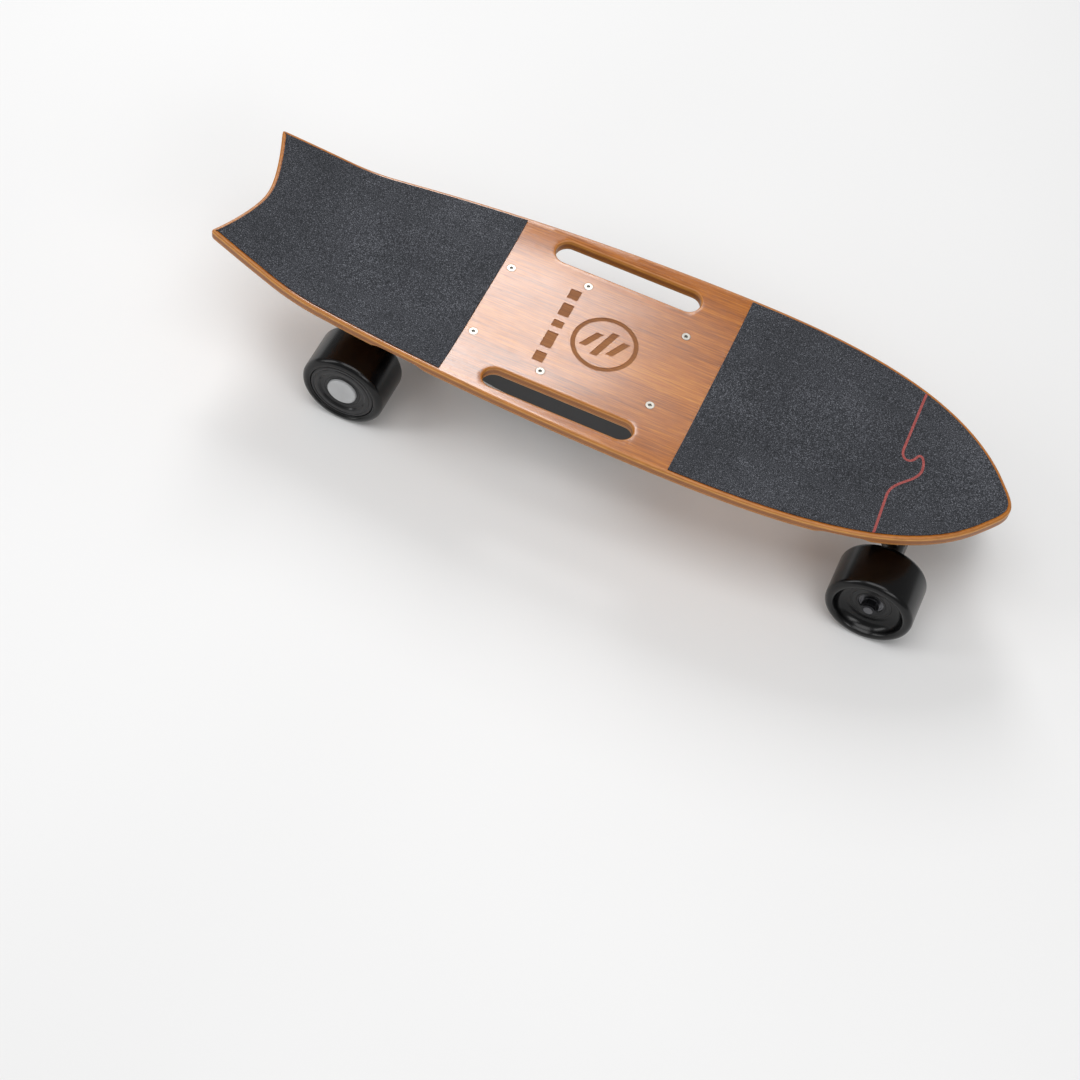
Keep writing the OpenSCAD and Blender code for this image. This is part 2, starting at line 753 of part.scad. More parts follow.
// Places on the left wall: the button and the charge port
module on_side(x) { translate([x, 0, side_z]) rotate([-90, 0, 0]) children(); }

// Cooling holes: one large hole with six small ones round it
module vent_holes() {
    for (s = [-1, 1]) translate([vent_x, s * vent_y, box_floor - 1]) {
        cylinder(h = 6, r = 2.6);
        for (i = [0:5]) rotate([0, 0, 60 * i]) translate([9.5, 0, 0]) cylinder(h = 6, r = 1.5);
    }
}

module box_shell() {
    color("#2b2c2e") difference() {
        union() {
            difference() {
                box_form(0, box_floor, box_top);
                box_form(box_wall, box_floor + box_wall, box_top + 5);
            }
            intersection() {
                box_form(1, box_floor, box_top);
                screw_places() translate([0, 0, box_top - boss_depth]) cylinder(h = boss_depth, r = 5);
            }
            on_side(button_x) translate([0, 0, 46]) cylinder(h = 9.5, r = 9.5);
            on_side(port_x) translate([0, 0, 47]) cylinder(h = 10.5, r = 9.5);
        }
        screw_places() translate([0, 0, box_top - boss_depth + 2]) cylinder(h = 20, r = screw_r + TINY);
        vent_holes();
        translate([emblem_x, 0, box_floor - 1]) difference() {
            cylinder(h = 1.7, r = emblem_r);
            translate([0, 0, -1]) cylinder(h = 5, r = emblem_r - 1.2);
        }
        for (i = [-1:1]) translate([emblem_x + 9 * i - 2, -12, box_floor - 1]) cube([4, 24, 1.5]);
        translate([lens_x, 0, box_floor - 1]) cylinder(h = 6, r = 2 + TINY);
        on_side(button_x) translate([0, 0, 40]) cylinder(h = 20, r = 6.5 + TINY);
        on_side(port_x) translate([0, 0, 40]) cylinder(h = 20, r = 6.5 + TINY);
        both() translate([box_rear - 3, gland_y, gland_z]) rotate([0, 90, 0]) cylinder(h = 10, r = 4.5);
    }
}

// Seal that fills the space between the box and the hollow deck
module box_gasket() {
    color("#111111") difference() {
        box_slab(0.3, box_top, deck_bottom + 2);
        translate([0, 0, -5]) box_slab(box_wall, box_top, deck_bottom + 20);
        deck_layer(0, deck_thickness);
    }
}

// Row of lithium cells across the box, with a tray end on each side
module battery_cells() {
    pitch = 2 * cell_r + 0.2;
    color("#3c7fb1") for (i = [0:cell_count - 1])
        translate([cells_x + (i - (cell_count - 1) / 2) * pitch, -cell_length / 2, cells_z])
            rotate([-90, 0, 0]) cylinder(h = cell_length, r = cell_r);
}

// Protection board beside the cells, with its components
module battery_board() {
    color("#1f6b3a") {
        translate([36, -30, cells_z - 8]) cube([1.6, 60, 22]);
        for (y = [-22, -6, 10]) translate([37.6, y, cells_z - 4]) cube([3, 10, 12]);
    }
}

// Motor speed controller with its finned heat spreader
module speed_controller() {
    z = cells_z + cell_r + 3;
    color("#2d5c8c") {
        translate([-106, -31, z]) cube([98, 62, 1.6]);
        for (x = [-98:14:-28]) translate([x, -22, z - 2.2]) cube([9, 9, 2.2]);
        translate([-100, -25, z + 1.6]) cube([70, 50, 3]);
        for (i = [0:8]) translate([-98 + 8 * i, -25, z + 4.6]) cube([2, 50, 4]);
        for (x = [-24, -14], y = [-18, 0, 18]) translate([x, y, z + 1.6]) cylinder(h = 7, r = 3.5);
    }
}

// Button that slides in along Y; its stem stays inside the ring
module power_button() {
    color("#1a1a1c") on_side(button_x) {
        translate([0, 0, 53]) cylinder(h = 5.6, r = button_radius);
        translate([0, 0, 47.5]) cylinder(h = 6, r = 2.4);
    }
}

// Threaded metal ring that guides the button
module power_button_ring() {
    color("silver") on_side(button_x) {
        difference() {
            union() {
                translate([0, 0, 44]) cylinder(h = 14, r = 6.5);
                translate([0, 0, 55.5]) cylinder(h = 2.8, r = 8);
            }
            translate([0, 0, 51.3]) cylinder(h = 20, r = button_radius + fit);
            translate([0, 0, 45.5]) cylinder(h = 20, r = 2.4 + fit);
        }
    }
}

// Round charging socket
module charge_port() {
    color("#1a1a1c") on_side(port_x) difference() {
        union() {
            translate([0, 0, 44]) cylinder(h = 13.6, r = 6.5);
            translate([0, 0, 57.5]) cylinder(h = 1, r = 8);
            translate([6, -4, 57.5]) cube([4, 8, 0.9]);
        }
        translate([0, 0, 48.5]) cylinder(h = 20, r = 4);
    }
}

// Rubber cap over the socket, hinged at its forward edge
module charge_port_cap() {
    color("#202022") on_side(port_x) {
        translate([0, 0, 58.8]) cylinder(h = 2, r = 8);
        translate([8.4, -4, 59.8]) rotate([-90, 0, 0]) cylinder(h = 8, r = 1);
        translate([6, -4, 59]) cube([2.6, 8, 1.6]);
    }
}

module indicator_lens() {
    color("white") translate([lens_x, 0, box_floor]) cylinder(h = box_wall + 1, r = 2);
}

// ---------- assembled pieces ----------

module rear_riser_pads() { color("#19191a") rear_truck() riser_pads(); }
module front_riser_pads() { color("#19191a") front_truck() riser_pads(); }
module rear_baseplate() { color("#1c1c1e") rear_truck() baseplate(); }
module front_baseplate() { color("#1c1c1e") front_truck() baseplate(); }
module rear_pivot_cup() { color("#101011") rear_truck() trimmed_cup(); }
module front_pivot_cup() { color("#101011") front_truck() trimmed_cup(); }
module rear_kingpin() { color("#3a3a3c") rear_truck() kingpin(); }
module front_kingpin() { color("#3a3a3c") front_truck() kingpin(); }
module rear_bushings() { color("#121213") rear_truck() bushings(); }
module front_bushings() { color("#121213") front_truck() bushings(); }
module rear_bushing_washers() { color("#2c2c2e") rear_truck() bushing_washers(); }
module front_bushing_washers() { color("#2c2c2e") front_truck() bushing_washers(); }
module rear_kingpin_nut() { color("#2c2c2e") rear_truck() kingpin_nut(); }
module front_kingpin_nut() { color("#2c2c2e") front_truck() kingpin_nut(); }

// Both trucks' bolts, flush with the wood under the grip tape
module truck_bolts() {
    length = deck_top - plate_top + plate_thickness + 7;
    color("#2c2c2e") for (k = [0, 1]) mirror_rear(k) bolt_places()
        flat_screw(bolt_r, 4.7, deck_top, length, 1.8);
}

// Lock nuts under the baseplates
module truck_bolt_nuts() {
    z = plate_top - plate_thickness;
    color("#2c2c2e") for (k = [0, 1]) mirror_rear(k) bolt_places() difference() {
        union() {
            translate([0, 0, z - 3.5]) cylinder(h = 3.5, r = 4.6, $fn = 6);
            translate([0, 0, z - 5]) cylinder(h = 1.6, r = 3.7);
        }
        translate([0, 0, z - 6]) cylinder(h = 10, r = bolt_r);
    }
}

// Truck number 0 is the front one, number 1 the rear one
module mirror_rear(k) {
    if (k == 0) front_truck() children();
    if (k == 1) rear_truck() children();
}

// Right-hand copies are mirror images of the left-hand ones
module right_side() { mirror([0, 1, 0]) children(); }

module left_front_tyre() { color("#0f0f10") front_truck() front_tyre(); }
module right_front_tyre() { color("#0f0f10") front_truck() right_side() front_tyre(); }
module left_front_core() { color("#1a1a1b") front_truck() front_core(); }
module right_front_core() { color("#1a1a1b") front_truck() right_side() front_core(); }
module left_front_bearings() { color("silver") front_truck() front_bearings(); }
module right_front_bearings() { color("silver") front_truck() right_side() front_bearings(); }
module left_motor_shaft() { color("silver") rear_truck() motor_shaft(); }
module right_motor_shaft() { color("silver") rear_truck() right_side() motor_shaft(); }
module left_motor_stator() { color("#a8642a") rear_truck() motor_stator(); }
module right_motor_stator() { color("#a8642a") rear_truck() right_side() motor_stator(); }
module left_motor_can() { color("#141415") rear_truck() motor_can(); }
module right_motor_can() { color("#141415") rear_truck() right_side() motor_can(); }
module left_motor_flange() { color("#c8c8cc") rear_truck() motor_flange(); }
module right_motor_flange() { color("#c8c8cc") rear_truck() right_side() motor_flange(); }
module left_motor_cap() { color("#b8b8ba") rear_truck() motor_cap(); }
module right_motor_cap() { color("#b8b8ba") rear_truck() right_side() motor_cap(); }
module left_motor_tyre() { color("#0f0f10") rear_truck() motor_tyre(); }
module right_motor_tyre() { color("#0f0f10") rear_truck() right_side() motor_tyre(); }
module left_motor_bearings() { color("silver") rear_truck() motor_bearings(); }
module right_motor_bearings() { color("silver") rear_truck() right_side() motor_bearings(); }

deck();
grip_tape_rear();
grip_tape_front();
grip_line_inlay();
deck_screws();
rear_riser_pads();
front_riser_pads();
truck_bolts();
truck_bolt_nuts();
rear_baseplate();
front_baseplate();
rear_pivot_cup();
front_pivot_cup();
rear_kingpin();
front_kingpin();
rear_bushings();
front_bushings();
rear_bushing_washers();
front_bushing_washers();
rear_kingpin_nut();
front_kingpin_nut();
rear_hanger();
front_hanger();
front_axle();
front_axle_spacers();
front_axle_nuts();
left_front_tyre();
right_front_tyre();
left_front_core();
right_front_core();
left_front_bearings();
right_front_bearings();
motor_clamp_screws();
left_motor_shaft();
right_motor_shaft();
left_motor_stator();
right_motor_stator();
left_motor_can();
right_motor_can();
left_motor_flange();
right_motor_flange();
left_motor_cap();
right_motor_cap();
left_motor_tyre();
right_motor_tyre();
left_motor_bearings();
right_motor_bearings();
motor_cable_left();
motor_cable_right();
cable_glands();
box_shell();
box_gasket();
battery_cells();
battery_board();
speed_controller();
power_button();
power_button_ring();
charge_port();
charge_port_cap();
indicator_lens();
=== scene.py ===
"""Looks of the electric cruiser skateboard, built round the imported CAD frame.

Everything is in metres in the row frame: +X is the nose, +Y the left side, +Z up, and the ground
is z = 0. Lengths written as 12 * MM are millimetres.
"""

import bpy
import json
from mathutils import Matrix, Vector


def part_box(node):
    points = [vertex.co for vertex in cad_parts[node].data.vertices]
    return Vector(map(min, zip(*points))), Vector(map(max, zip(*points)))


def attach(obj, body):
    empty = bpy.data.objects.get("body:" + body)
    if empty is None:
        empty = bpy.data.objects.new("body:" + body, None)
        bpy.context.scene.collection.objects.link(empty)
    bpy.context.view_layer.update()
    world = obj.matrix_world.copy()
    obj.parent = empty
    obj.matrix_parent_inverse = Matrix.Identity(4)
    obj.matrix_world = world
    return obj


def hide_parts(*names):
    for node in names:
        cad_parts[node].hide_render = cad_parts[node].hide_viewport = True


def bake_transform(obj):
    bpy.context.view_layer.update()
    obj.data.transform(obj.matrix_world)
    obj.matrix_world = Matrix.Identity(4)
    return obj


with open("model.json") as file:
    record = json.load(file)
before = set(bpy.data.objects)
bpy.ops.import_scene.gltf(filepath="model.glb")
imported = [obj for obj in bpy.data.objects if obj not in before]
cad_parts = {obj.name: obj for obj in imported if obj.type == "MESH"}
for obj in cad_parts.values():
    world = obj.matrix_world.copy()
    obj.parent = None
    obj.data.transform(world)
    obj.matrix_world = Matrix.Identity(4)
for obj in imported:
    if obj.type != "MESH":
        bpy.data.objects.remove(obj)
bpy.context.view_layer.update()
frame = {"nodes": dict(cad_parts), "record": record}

import json
import math

import bmesh
import bpy
import numpy as np
from mathutils import Matrix, Vector, geometry

MM = 0.001
NODES = frame["nodes"]

# ---------- driving values, from the frame where it has them ----------

DECK_LOW, DECK_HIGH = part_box("deck")
HALF_LENGTH = DECK_HIGH.x
HALF_WIDTH = DECK_HIGH.y
DECK_THICKNESS = 10.5 * MM
DECK_TOP = DECK_LOW.z + DECK_THICKNESS
CONCAVE_RADIUS = 400 * MM
FLAT_HALF = 35 * MM
TAIL_BEND_X = -243 * MM
TAIL_RADIUS = 155 * MM
TAIL_ANGLE = math.radians(17)
GRIP_THICKNESS = 0.9 * MM
EDGE_ROUNDING = 2.2 * MM
GRIP_MARGIN = 3.5 * MM

TYRE_LOW, TYRE_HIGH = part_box("left_motor_tyre")
AXLE_Z = (TYRE_LOW.z + TYRE_HIGH.z) / 2
REAR_AXLE_X = (TYRE_LOW.x + TYRE_HIGH.x) / 2
FRONT_AXLE_X = sum(corner.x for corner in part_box("left_front_tyre")) / 2

SCREW_SPOTS = ((-117, 39.2), (-50, 51.6), (45, 41))
SCREWS = [(x * MM, side * y * MM) for x, y in SCREW_SPOTS for side in (1, -1)]


# ---------- flat curves ----------


def bezier(a, b, c, d, count):
    """count + 1 points along a cubic curve with handles b and c."""
    t = np.linspace(0, 1, count + 1)[:, None]
    a, b, c, d = (np.asarray(p, float) for p in (a, b, c, d))
    return (1 - t) ** 3 * a + 3 * (1 - t) ** 2 * t * b + 3 * (1 - t) * t**2 * c + t**3 * d


def chain(*parts):
    """Curves that follow each other, with the shared points kept once."""
    return np.concatenate([parts[0]] + [p[1:] for p in parts[1:]])


def resampled(loop, spacing):
    """The closed loop with evenly spaced points."""
    closed = np.vstack([loop, loop[:1]])
    along = np.concatenate([[0], np.cumsum(np.linalg.norm(np.diff(closed, axis=0), axis=1))])
    count = int(along[-1] / spacing)
    places = np.linspace(0, along[-1], count, endpoint=False)
    return np.stack([np.interp(places, along, closed[:, k]) for k in (0, 1)], axis=1)


def softened(loop, reach):
    """The evenly spaced closed loop with its corners rounded over about that reach."""
    spacing = np.linalg.norm(loop[1] - loop[0])
    rounds = int((reach / spacing) ** 2 * 2)
    for _ in range(rounds):
        loop = 0.5 * loop + 0.25 * (np.roll(loop, 1, axis=0) + np.roll(loop, -1, axis=0))
    return loop


def inward(loop):
    """Unit vectors to the right of a closed loop, which is its inside when it runs clockwise."""
    step = np.roll(loop, -1, axis=0) - np.roll(loop, 1, axis=0)
    step /= np.linalg.norm(step, axis=1)[:, None]
    return np.stack([step[:, 1], -step[:, 0]], axis=1)


def circle(x, y, radius, count):
    """Clockwise circle."""
    turn = -np.arange(count) * 2 * math.pi / count
    return np.stack([x + radius * np.cos(turn), y + radius * np.sin(turn)], axis=1)


def stadium(x, y, length, width, count):
    """Clockwise slot outline with round ends, count points to each end."""
    turn = np.linspace(math.pi / 2, -math.pi / 2, count)
    end = np.stack([np.cos(turn), np.sin(turn)], axis=1) * width / 2
    reach = np.array([(length - width) / 2, 0])
    return np.array([x, y]) + np.concatenate([end + reach, -end - reach])


def deck_outline():
    """Plan outline of the deck, clockwise from the notch in the tail."""
    notch = np.array([-HALF_LENGTH + 19 * MM, 0])
    tail_tip = np.array([-HALF_LENGTH, 65.4 * MM])
    widest = np.array([70 * MM, HALF_WIDTH])
    shoulder = np.array([HALF_LENGTH - 14 * MM, 25 * MM])
    nose = np.array([HALF_LENGTH, 0])
    slope = np.array([-math.cos(math.radians(53)), math.sin(math.radians(53))])
    left = chain(
        bezier(notch, notch + (0, 18 * MM), tail_tip + (8 * MM, -19 * MM), tail_tip, 30),
        bezier(tail_tip, tail_tip + (145 * MM, 27 * MM), (-64 * MM, HALF_WIDTH), widest, 90),
        bezier(widest, widest + (100 * MM, 0), shoulder + 87 * MM * slope, shoulder, 90),
        bezier(shoulder, shoulder - 9 * MM * slope, nose + (0, 9 * MM), nose, 20),
    )
    right = left[-2:0:-1] * (1, -1)
    return softened(resampled(np.vstack([left, right]), 1.9 * MM), 2.3 * MM)


OUTLINE = deck_outline()
SLOTS = [stadium(-23.6 * MM, side * 77 * MM, 134.5 * MM, 22 * MM, 28) for side in (1, -1)]


def deck_height(x, y, depth):
    """Height of the layer at that depth under the deck's top, over the plan point x, y."""
    side = np.maximum(np.abs(y) - FLAT_HALF, 0)
    rise = CONCAVE_RADIUS - np.sqrt((CONCAVE_RADIUS + depth) ** 2 - side**2)
    radius = TAIL_RADIUS - rise
    back = TAIL_BEND_X - x
    turn = np.arcsin(np.clip(back / radius, 0, math.sin(TAIL_ANGLE)))
    straight = np.maximum(back - radius * math.sin(TAIL_ANGLE), 0) * math.tan(TAIL_ANGLE)
    return DECK_TOP + TAIL_RADIUS - radius * np.cos(turn) + straight


# Wheel wells: shallow scoops in the underside's edge over each wheel, [x, half length, reach]
WELLS = [(-163 * MM, 25 * MM, 19 * MM), (233 * MM, 22 * MM, 17 * MM)]
WELL_DEPTH = 3.6 * MM
LEFT_EDGE = OUTLINE[(OUTLINE[:, 1] > 40 * MM) & (OUTLINE[:, 0] > -0.34)]
LEFT_EDGE = LEFT_EDGE[np.argsort(LEFT_EDGE[:, 0])]


def well_nearness(x, y):
    """1 in the middle of a wheel well at the deck's edge, 0 at its rim and outside it."""
    edge = np.interp(x, LEFT_EDGE[:, 0], LEFT_EDGE[:, 1])
    near = np.zeros_like(x)
    for well_x, half, reach in WELLS:
        away = np.hypot((x - well_x) / half, (np.abs(y) - edge) / reach)
        near = np.maximum(near, 1 - away)
    return near


# ---------- meshes ----------


def inside(points, loop):
    """Which points are inside the closed loop."""
    result = np.zeros(len(points), bool)
    x, y = points[:, 0], points[:, 1]
    for (x0, y0), (x1, y1) in zip(loop, np.roll(loop, -1, axis=0)):
        if y0 != y1:
            crosses = ((y0 > y) != (y1 > y)) & (x < (x1 - x0) * (y - y0) / (y1 - y0) + x0)
            result ^= crosses
    return result


def triangulated(outer, holes=(), marks=(), spacing=4 * MM, extra=()):
    """Flat triangles of the area inside outer and outside the holes, with the marks' edges kept.

    Returns the points and the triangles. Inner points lie on a staggered grid.
    """
    loops = [outer, *holes, *marks]
    low, high = outer.min(0), outer.max(0)
    columns, rows = (int(n) + 2 for n in (high - low) / spacing)
    grid = np.array(
        [
            (low[0] + spacing * (i + 0.5 * (j % 2)), low[1] + spacing * (j + 0.37))
            for i in range(columns)
            for j in range(rows)
        ]
    )
    if len(extra):
        grid = np.vstack([grid, extra])
    keep = inside(grid, outer)
    edges_at = np.vstack([np.vstack([loop, (loop + np.roll(loop, 1, axis=0)) / 2]) for loop in loops])
    for start in range(0, len(grid), 2000):
        block = grid[start : start + 2000]
        away = np.hypot(block[:, None, 0] - edges_at[:, 0], block[:, None, 1] - edges_at[:, 1])
        keep[start : start + 2000] &= away.min(1) > 1.1 * MM
    points, edges = [], []
    for loop in loops:
        first = len(points)
        points += [Vector(p) for p in loop]
        edges += [(first + k, first + (k + 1) % len(loop)) for k in range(len(loop))]
    points += [Vector(p) for p in grid[keep]]
    flat, _, faces, *_ = geometry.delaunay_2d_cdt(points, edges, [], 0, 1e-7)
    flat = np.array([tuple(p) for p in flat])
    faces = np.array(faces)
    middles = flat[faces].mean(1)
    used = inside(middles, outer)
    for hole in holes:
        used &= ~inside(middles, hole)
    return flat, faces[used]


def add_piece(name, verts, faces, body, materials, stands_for=(), kinds=None, layers=None, sharp=40):
    """A mesh object on a CAD body, with the material index of each face and point values."""
    mesh = bpy.data.meshes.new(name)
    mesh.from_pydata([tuple(v) for v in verts], [], [tuple(int(k) for k in f) for f in faces])
    for layer, values in (layers or {}).items():
        attribute = mesh.attributes.new(layer, "FLOAT", "POINT")
        attribute.data.foreach_set("value", np.asarray(values, np.float32))
    if kinds is not None:
        mesh.polygons.foreach_set("material_index", np.asarray(kinds, np.int32))
    return place_mesh(name, mesh, body, materials, stands_for, sharp)


def place_mesh(name, mesh, body, materials, stands_for=(), sharp=40):
    """Cleans the mesh, shades it smooth but for sharp edges, and ties it to the frame."""
    work = bmesh.new()
    work.from_mesh(mesh)
    bmesh.ops.remove_doubles(work, verts=work.verts, dist=2e-6)
    bmesh.ops.dissolve_degenerate(work, edges=work.edges, dist=1e-7)
    bmesh.ops.recalc_face_normals(work, faces=work.faces)
    for face in work.faces:
        face.smooth = True
    limit = math.radians(sharp)
    for edge in work.edges:
        edge.smooth = len(edge.link_faces) == 2 and edge.calc_face_angle(0) < limit
    work.to_mesh(mesh)
    work.free()
    piece = bpy.data.objects.new(name, mesh)
    bpy.context.scene.collection.objects.link(piece)
    for material in materials:
        mesh.materials.append(material)
    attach(piece, body)
    if stands_for:
        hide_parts(*stands_for)
    return piece


def ladder(loop, sign, profile, flip=False):
    """Wall along a closed loop from (inset, depth) pairs: plan points, depths and faces."""
    side = inward(loop) * sign
    count = len(loop)
    plan = np.vstack([loop + side * inset for inset, _ in profile])
    depth = np.repeat([d for _, d in profile], count)
    faces = []
    for k in range(len(profile) - 1):
        for i in range(count):
            j = (i + 1) % count
            quad = (k * count + i, k * count + j, (k + 1) * count + j, (k + 1) * count + i)
            faces.append(quad[::-1] if flip else quad)
    return plan, depth, faces


def rounded_rim(radius, thickness, steps=5):
    """(inset, depth) pairs round the top corner, down the side and round the bottom corner."""
    turn = np.linspace(0, math.pi / 2, steps + 1)
    top = [(radius * (1 - math.sin(a)), radius * (1 - math.cos(a))) for a in turn]
    side = [(0, radius + (thickness - 2 * radius) * k / 4) for k in (1, 2, 3)]
    return top + side + [(inset, thickness - depth) for inset, depth in top[::-1]]


# ---------- marks: a ring with slanted bars, and a row of dashes ----------


def bar(x, y, length, width, slant):
    """Slanted bar along Y as a closed loop."""
    half, wide = length / 2, width / 2
    return np.array(
        [
            (x - wide - slant, y - half),
            (x + wide - slant, y - half),
            (x + wide + slant, y + half),
            (x - wide + slant, y + half),
        ]
    )


def emblem(x, y, radius):
    """Loops of the round mark: outer and inner edge of the ring, then three bars."""
    bars = [(-0.42, 0.62), (0, 1.02), (0.42, 0.62)]
    return [circle(x, y, radius, 72), circle(x, y, radius * 0.86, 72)] + [
        resampled(bar(x + radius * dx, y, radius * length, radius * 0.22, radius * 0.16), 1.2 * MM)
        for dx, length in bars
    ]


def dashes(x, half, width, lengths, gap):
    """Row of dashes along Y, centred on the board."""
    scale = (2 * half - gap * (len(lengths) - 1)) / sum(lengths)
    loops, y = [], -half
    for length in lengths:
        loops.append(resampled(bar(x, y + length * scale / 2, length * scale, width, 0), 1.6 * MM))
        y += length * scale + gap
    return loops


def in_marks(points, loops):
    """Which points are on the round mark's ring, its bars or a dash."""
    ring = inside(points, loops[0]) & ~inside(points, loops[1])
    for loop in loops[2:]:
        ring |= inside(points, loop)
    return ring


# ---------- materials ----------


class Graph:
    """Node material with a Principled shader. Values may be numbers, colours or sockets."""

    def __init__(self, name):
        self.material = bpy.data.materials.new(name)
        self.material.use_nodes = True
        self.tree = self.material.node_tree
        self.tree.nodes.clear()
        self.shader = self.tree.nodes.new("ShaderNodeBsdfPrincipled")
        output = self.tree.nodes.new("ShaderNodeOutputMaterial")
        self.tree.links.new(self.shader.outputs[0], output.inputs[0])
        self.place = self.node("TexCoord").outputs["Object"]

    def set(self, socket, value):
        if isinstance(value, bpy.types.NodeSocket):
            self.tree.links.new(value, socket)
        elif isinstance(value, (tuple, list)) and socket.type == "RGBA" and len(value) == 3:
            socket.default_value = (*value, 1)
        else:
            socket.default_value = value

    def node(self, kind, values=None, **settings):
        node = self.tree.nodes.new("ShaderNode" + kind)
        for key, value in settings.items():
            setattr(node, key, value)
        for key, value in (values or {}).items():
            self.set(node.inputs[key], value)
        return node

    def math(self, operation, a, b=0.0):
        return self.node("Math", {0: a, 1: b}, operation=operation).outputs[0]

    def scaled(self, scale, offset=(0, 0, 0)):
        """Object coordinates times a scale, so that noise can be drawn out along the grain."""
        return self.node("Mapping", {"Vector": self.place, "Scale": scale, "Location": offset}).outputs[0]

    def noise(self, scale, detail=3.0, roughness=0.5, offset=(0, 0, 0), distortion=0.0):
        vector = self.scaled(scale if isinstance(scale, tuple) else (scale,) * 3, offset)
        values = {"Vector": vector, "Scale": 1.0, "Detail": detail, "Roughness": roughness}
        values["Distortion"] = distortion
        return self.node("TexNoise", values).outputs["Fac"]

    def ramp(self, value, *stops, constant=False):
        """Colours at places along a value, each stop (place, colour)."""
        node = self.node("ValToRGB", {0: value})
        band = node.color_ramp
        band.interpolation = "CONSTANT" if constant else "LINEAR"
        while len(band.elements) < len(stops):
            band.elements.new(0.5)
        for element, (place, colour) in zip(band.elements, stops):
            element.position = place
            element.color = (*colour, 1)
        return node.outputs[0]

    def between(self, value, low, high, out_low=0.0, out_high=1.0):
        """Value moved from one range to another, clamped."""
        inputs = {0: value, 1: low, 2: high, 3: out_low, 4: out_high}
        return self.node("MapRange", inputs).outputs[0]

    def mix(self, factor, a, b, blend="MIX"):
        node = self.node("Mix", data_type="RGBA", blend_type=blend)
        for socket, value in ((node.inputs[0], factor), (node.inputs[6], a), (node.inputs[7], b)):
            self.set(socket, value)
        return node.outputs[2]

    def bump(self, height, distance, strength=1.0, normal=None):
        values = {"Height": height, "Distance": distance, "Strength": strength}
        if normal is not None:
            values["Normal"] = normal
        return self.node("Bump", values).outputs[0]

    def shade(self, **values):
        for key, value in values.items():
            self.set(self.shader.inputs[SHADER_SOCKETS[key]], value)
        return self.material


SHADER_SOCKETS = {
    "colour": "Base Color",
    "roughness": "Roughness",
    "metallic": "Metallic",
    "normal": "Normal",
    "coat": "Coat Weight",
    "coat_roughness": "Coat Roughness",
    "specular": "Specular IOR Level",
    "ior": "IOR",
}


def srgb(code):
    """Linear colour from a hex code."""
    parts = [int(code[k : k + 2], 16) / 255 for k in (0, 2, 4)]
    return tuple(p / 12.92 if p <= 0.04045 else ((p + 0.055) / 1.055) ** 2.4 for p in parts)


def wood_grain(graph, dark, middle, light):
    """Lacquered veneer with its grain along the board: colour, and a height for the pores."""
    broad = graph.noise((3.2, 34, 20), 3, 0.55, distortion=0.6)
    fine = graph.noise((30, 760, 300), 4, 0.66, distortion=0.3)
    pores = graph.noise((90, 1700, 500), 3, 0.6)
    blend = graph.math("ADD", graph.math("MULTIPLY", broad, 0.4), graph.math("MULTIPLY", fine, 0.6))
    colour = graph.ramp(blend, (0.33, dark), (0.5, middle), (0.68, light))
    streak = graph.between(pores, 0.56, 0.72, 0.0, 0.5)
    return graph.mix(streak, colour, dark), graph.between(pores, 0.5, 0.75, 1.0, 0.0)


def make_top_wood(name, engraved=False):
    graph = Graph(name)
    tones = ("6f380a", "a65e14", "c67f22") if not engraved else ("6b3d17", "8a5426", "a06a35")
    colour, pores = wood_grain(graph, *(srgb(tone) for tone in tones))
    wear = graph.noise(9, 4)
    return graph.shade(
        colour=colour,
        roughness=graph.between(wear, 0.3, 0.7, 0.5 if engraved else 0.21, 0.6 if engraved else 0.27),
        normal=graph.bump(pores, 0.05 * MM, 0.5),
        specular=0.3 if engraved else 0.7,
        coat=0.0 if engraved else 0.3,
        coat_roughness=0.12,
    )


def make_edge_wood():
    """Laminated edge: thin pale and dark plies, told apart by the depth under the top."""
    graph = Graph("laminated_edge")
    ply = graph.node("Attribute", attribute_name="ply").outputs["Fac"]
    waver = graph.math("MULTIPLY", graph.math("SUBTRACT", graph.noise((5, 60, 60), 2), 0.5), 0.03)
    pale, honey = srgb("cf9448"), srgb("b4712a")
    brown, dark = srgb("975a20"), srgb("6f4016")
    plies = graph.ramp(
        graph.math("ADD", ply, waver),
        (0.0, honey),
        (0.12, pale),
        (0.24, honey),
        (0.36, dark),
        (0.4, brown),
        (0.6, dark),
        (0.64, honey),
        (0.8, dark),
        (0.83, pale),
        constant=True,
    )
    fibres = graph.noise((70, 260, 900), 4, 0.65)
    colour = graph.mix(graph.between(fibres, 0.42, 0.7, 0.0, 0.38), plies, srgb("5d3517"))
    return graph.shade(
        colour=colour,
        roughness=graph.between(fibres, 0.3, 0.7, 0.36, 0.52),
        normal=graph.bump(fibres, 0.06 * MM, 0.5),
        coat=0.15,
        coat_roughness=0.25,
    )


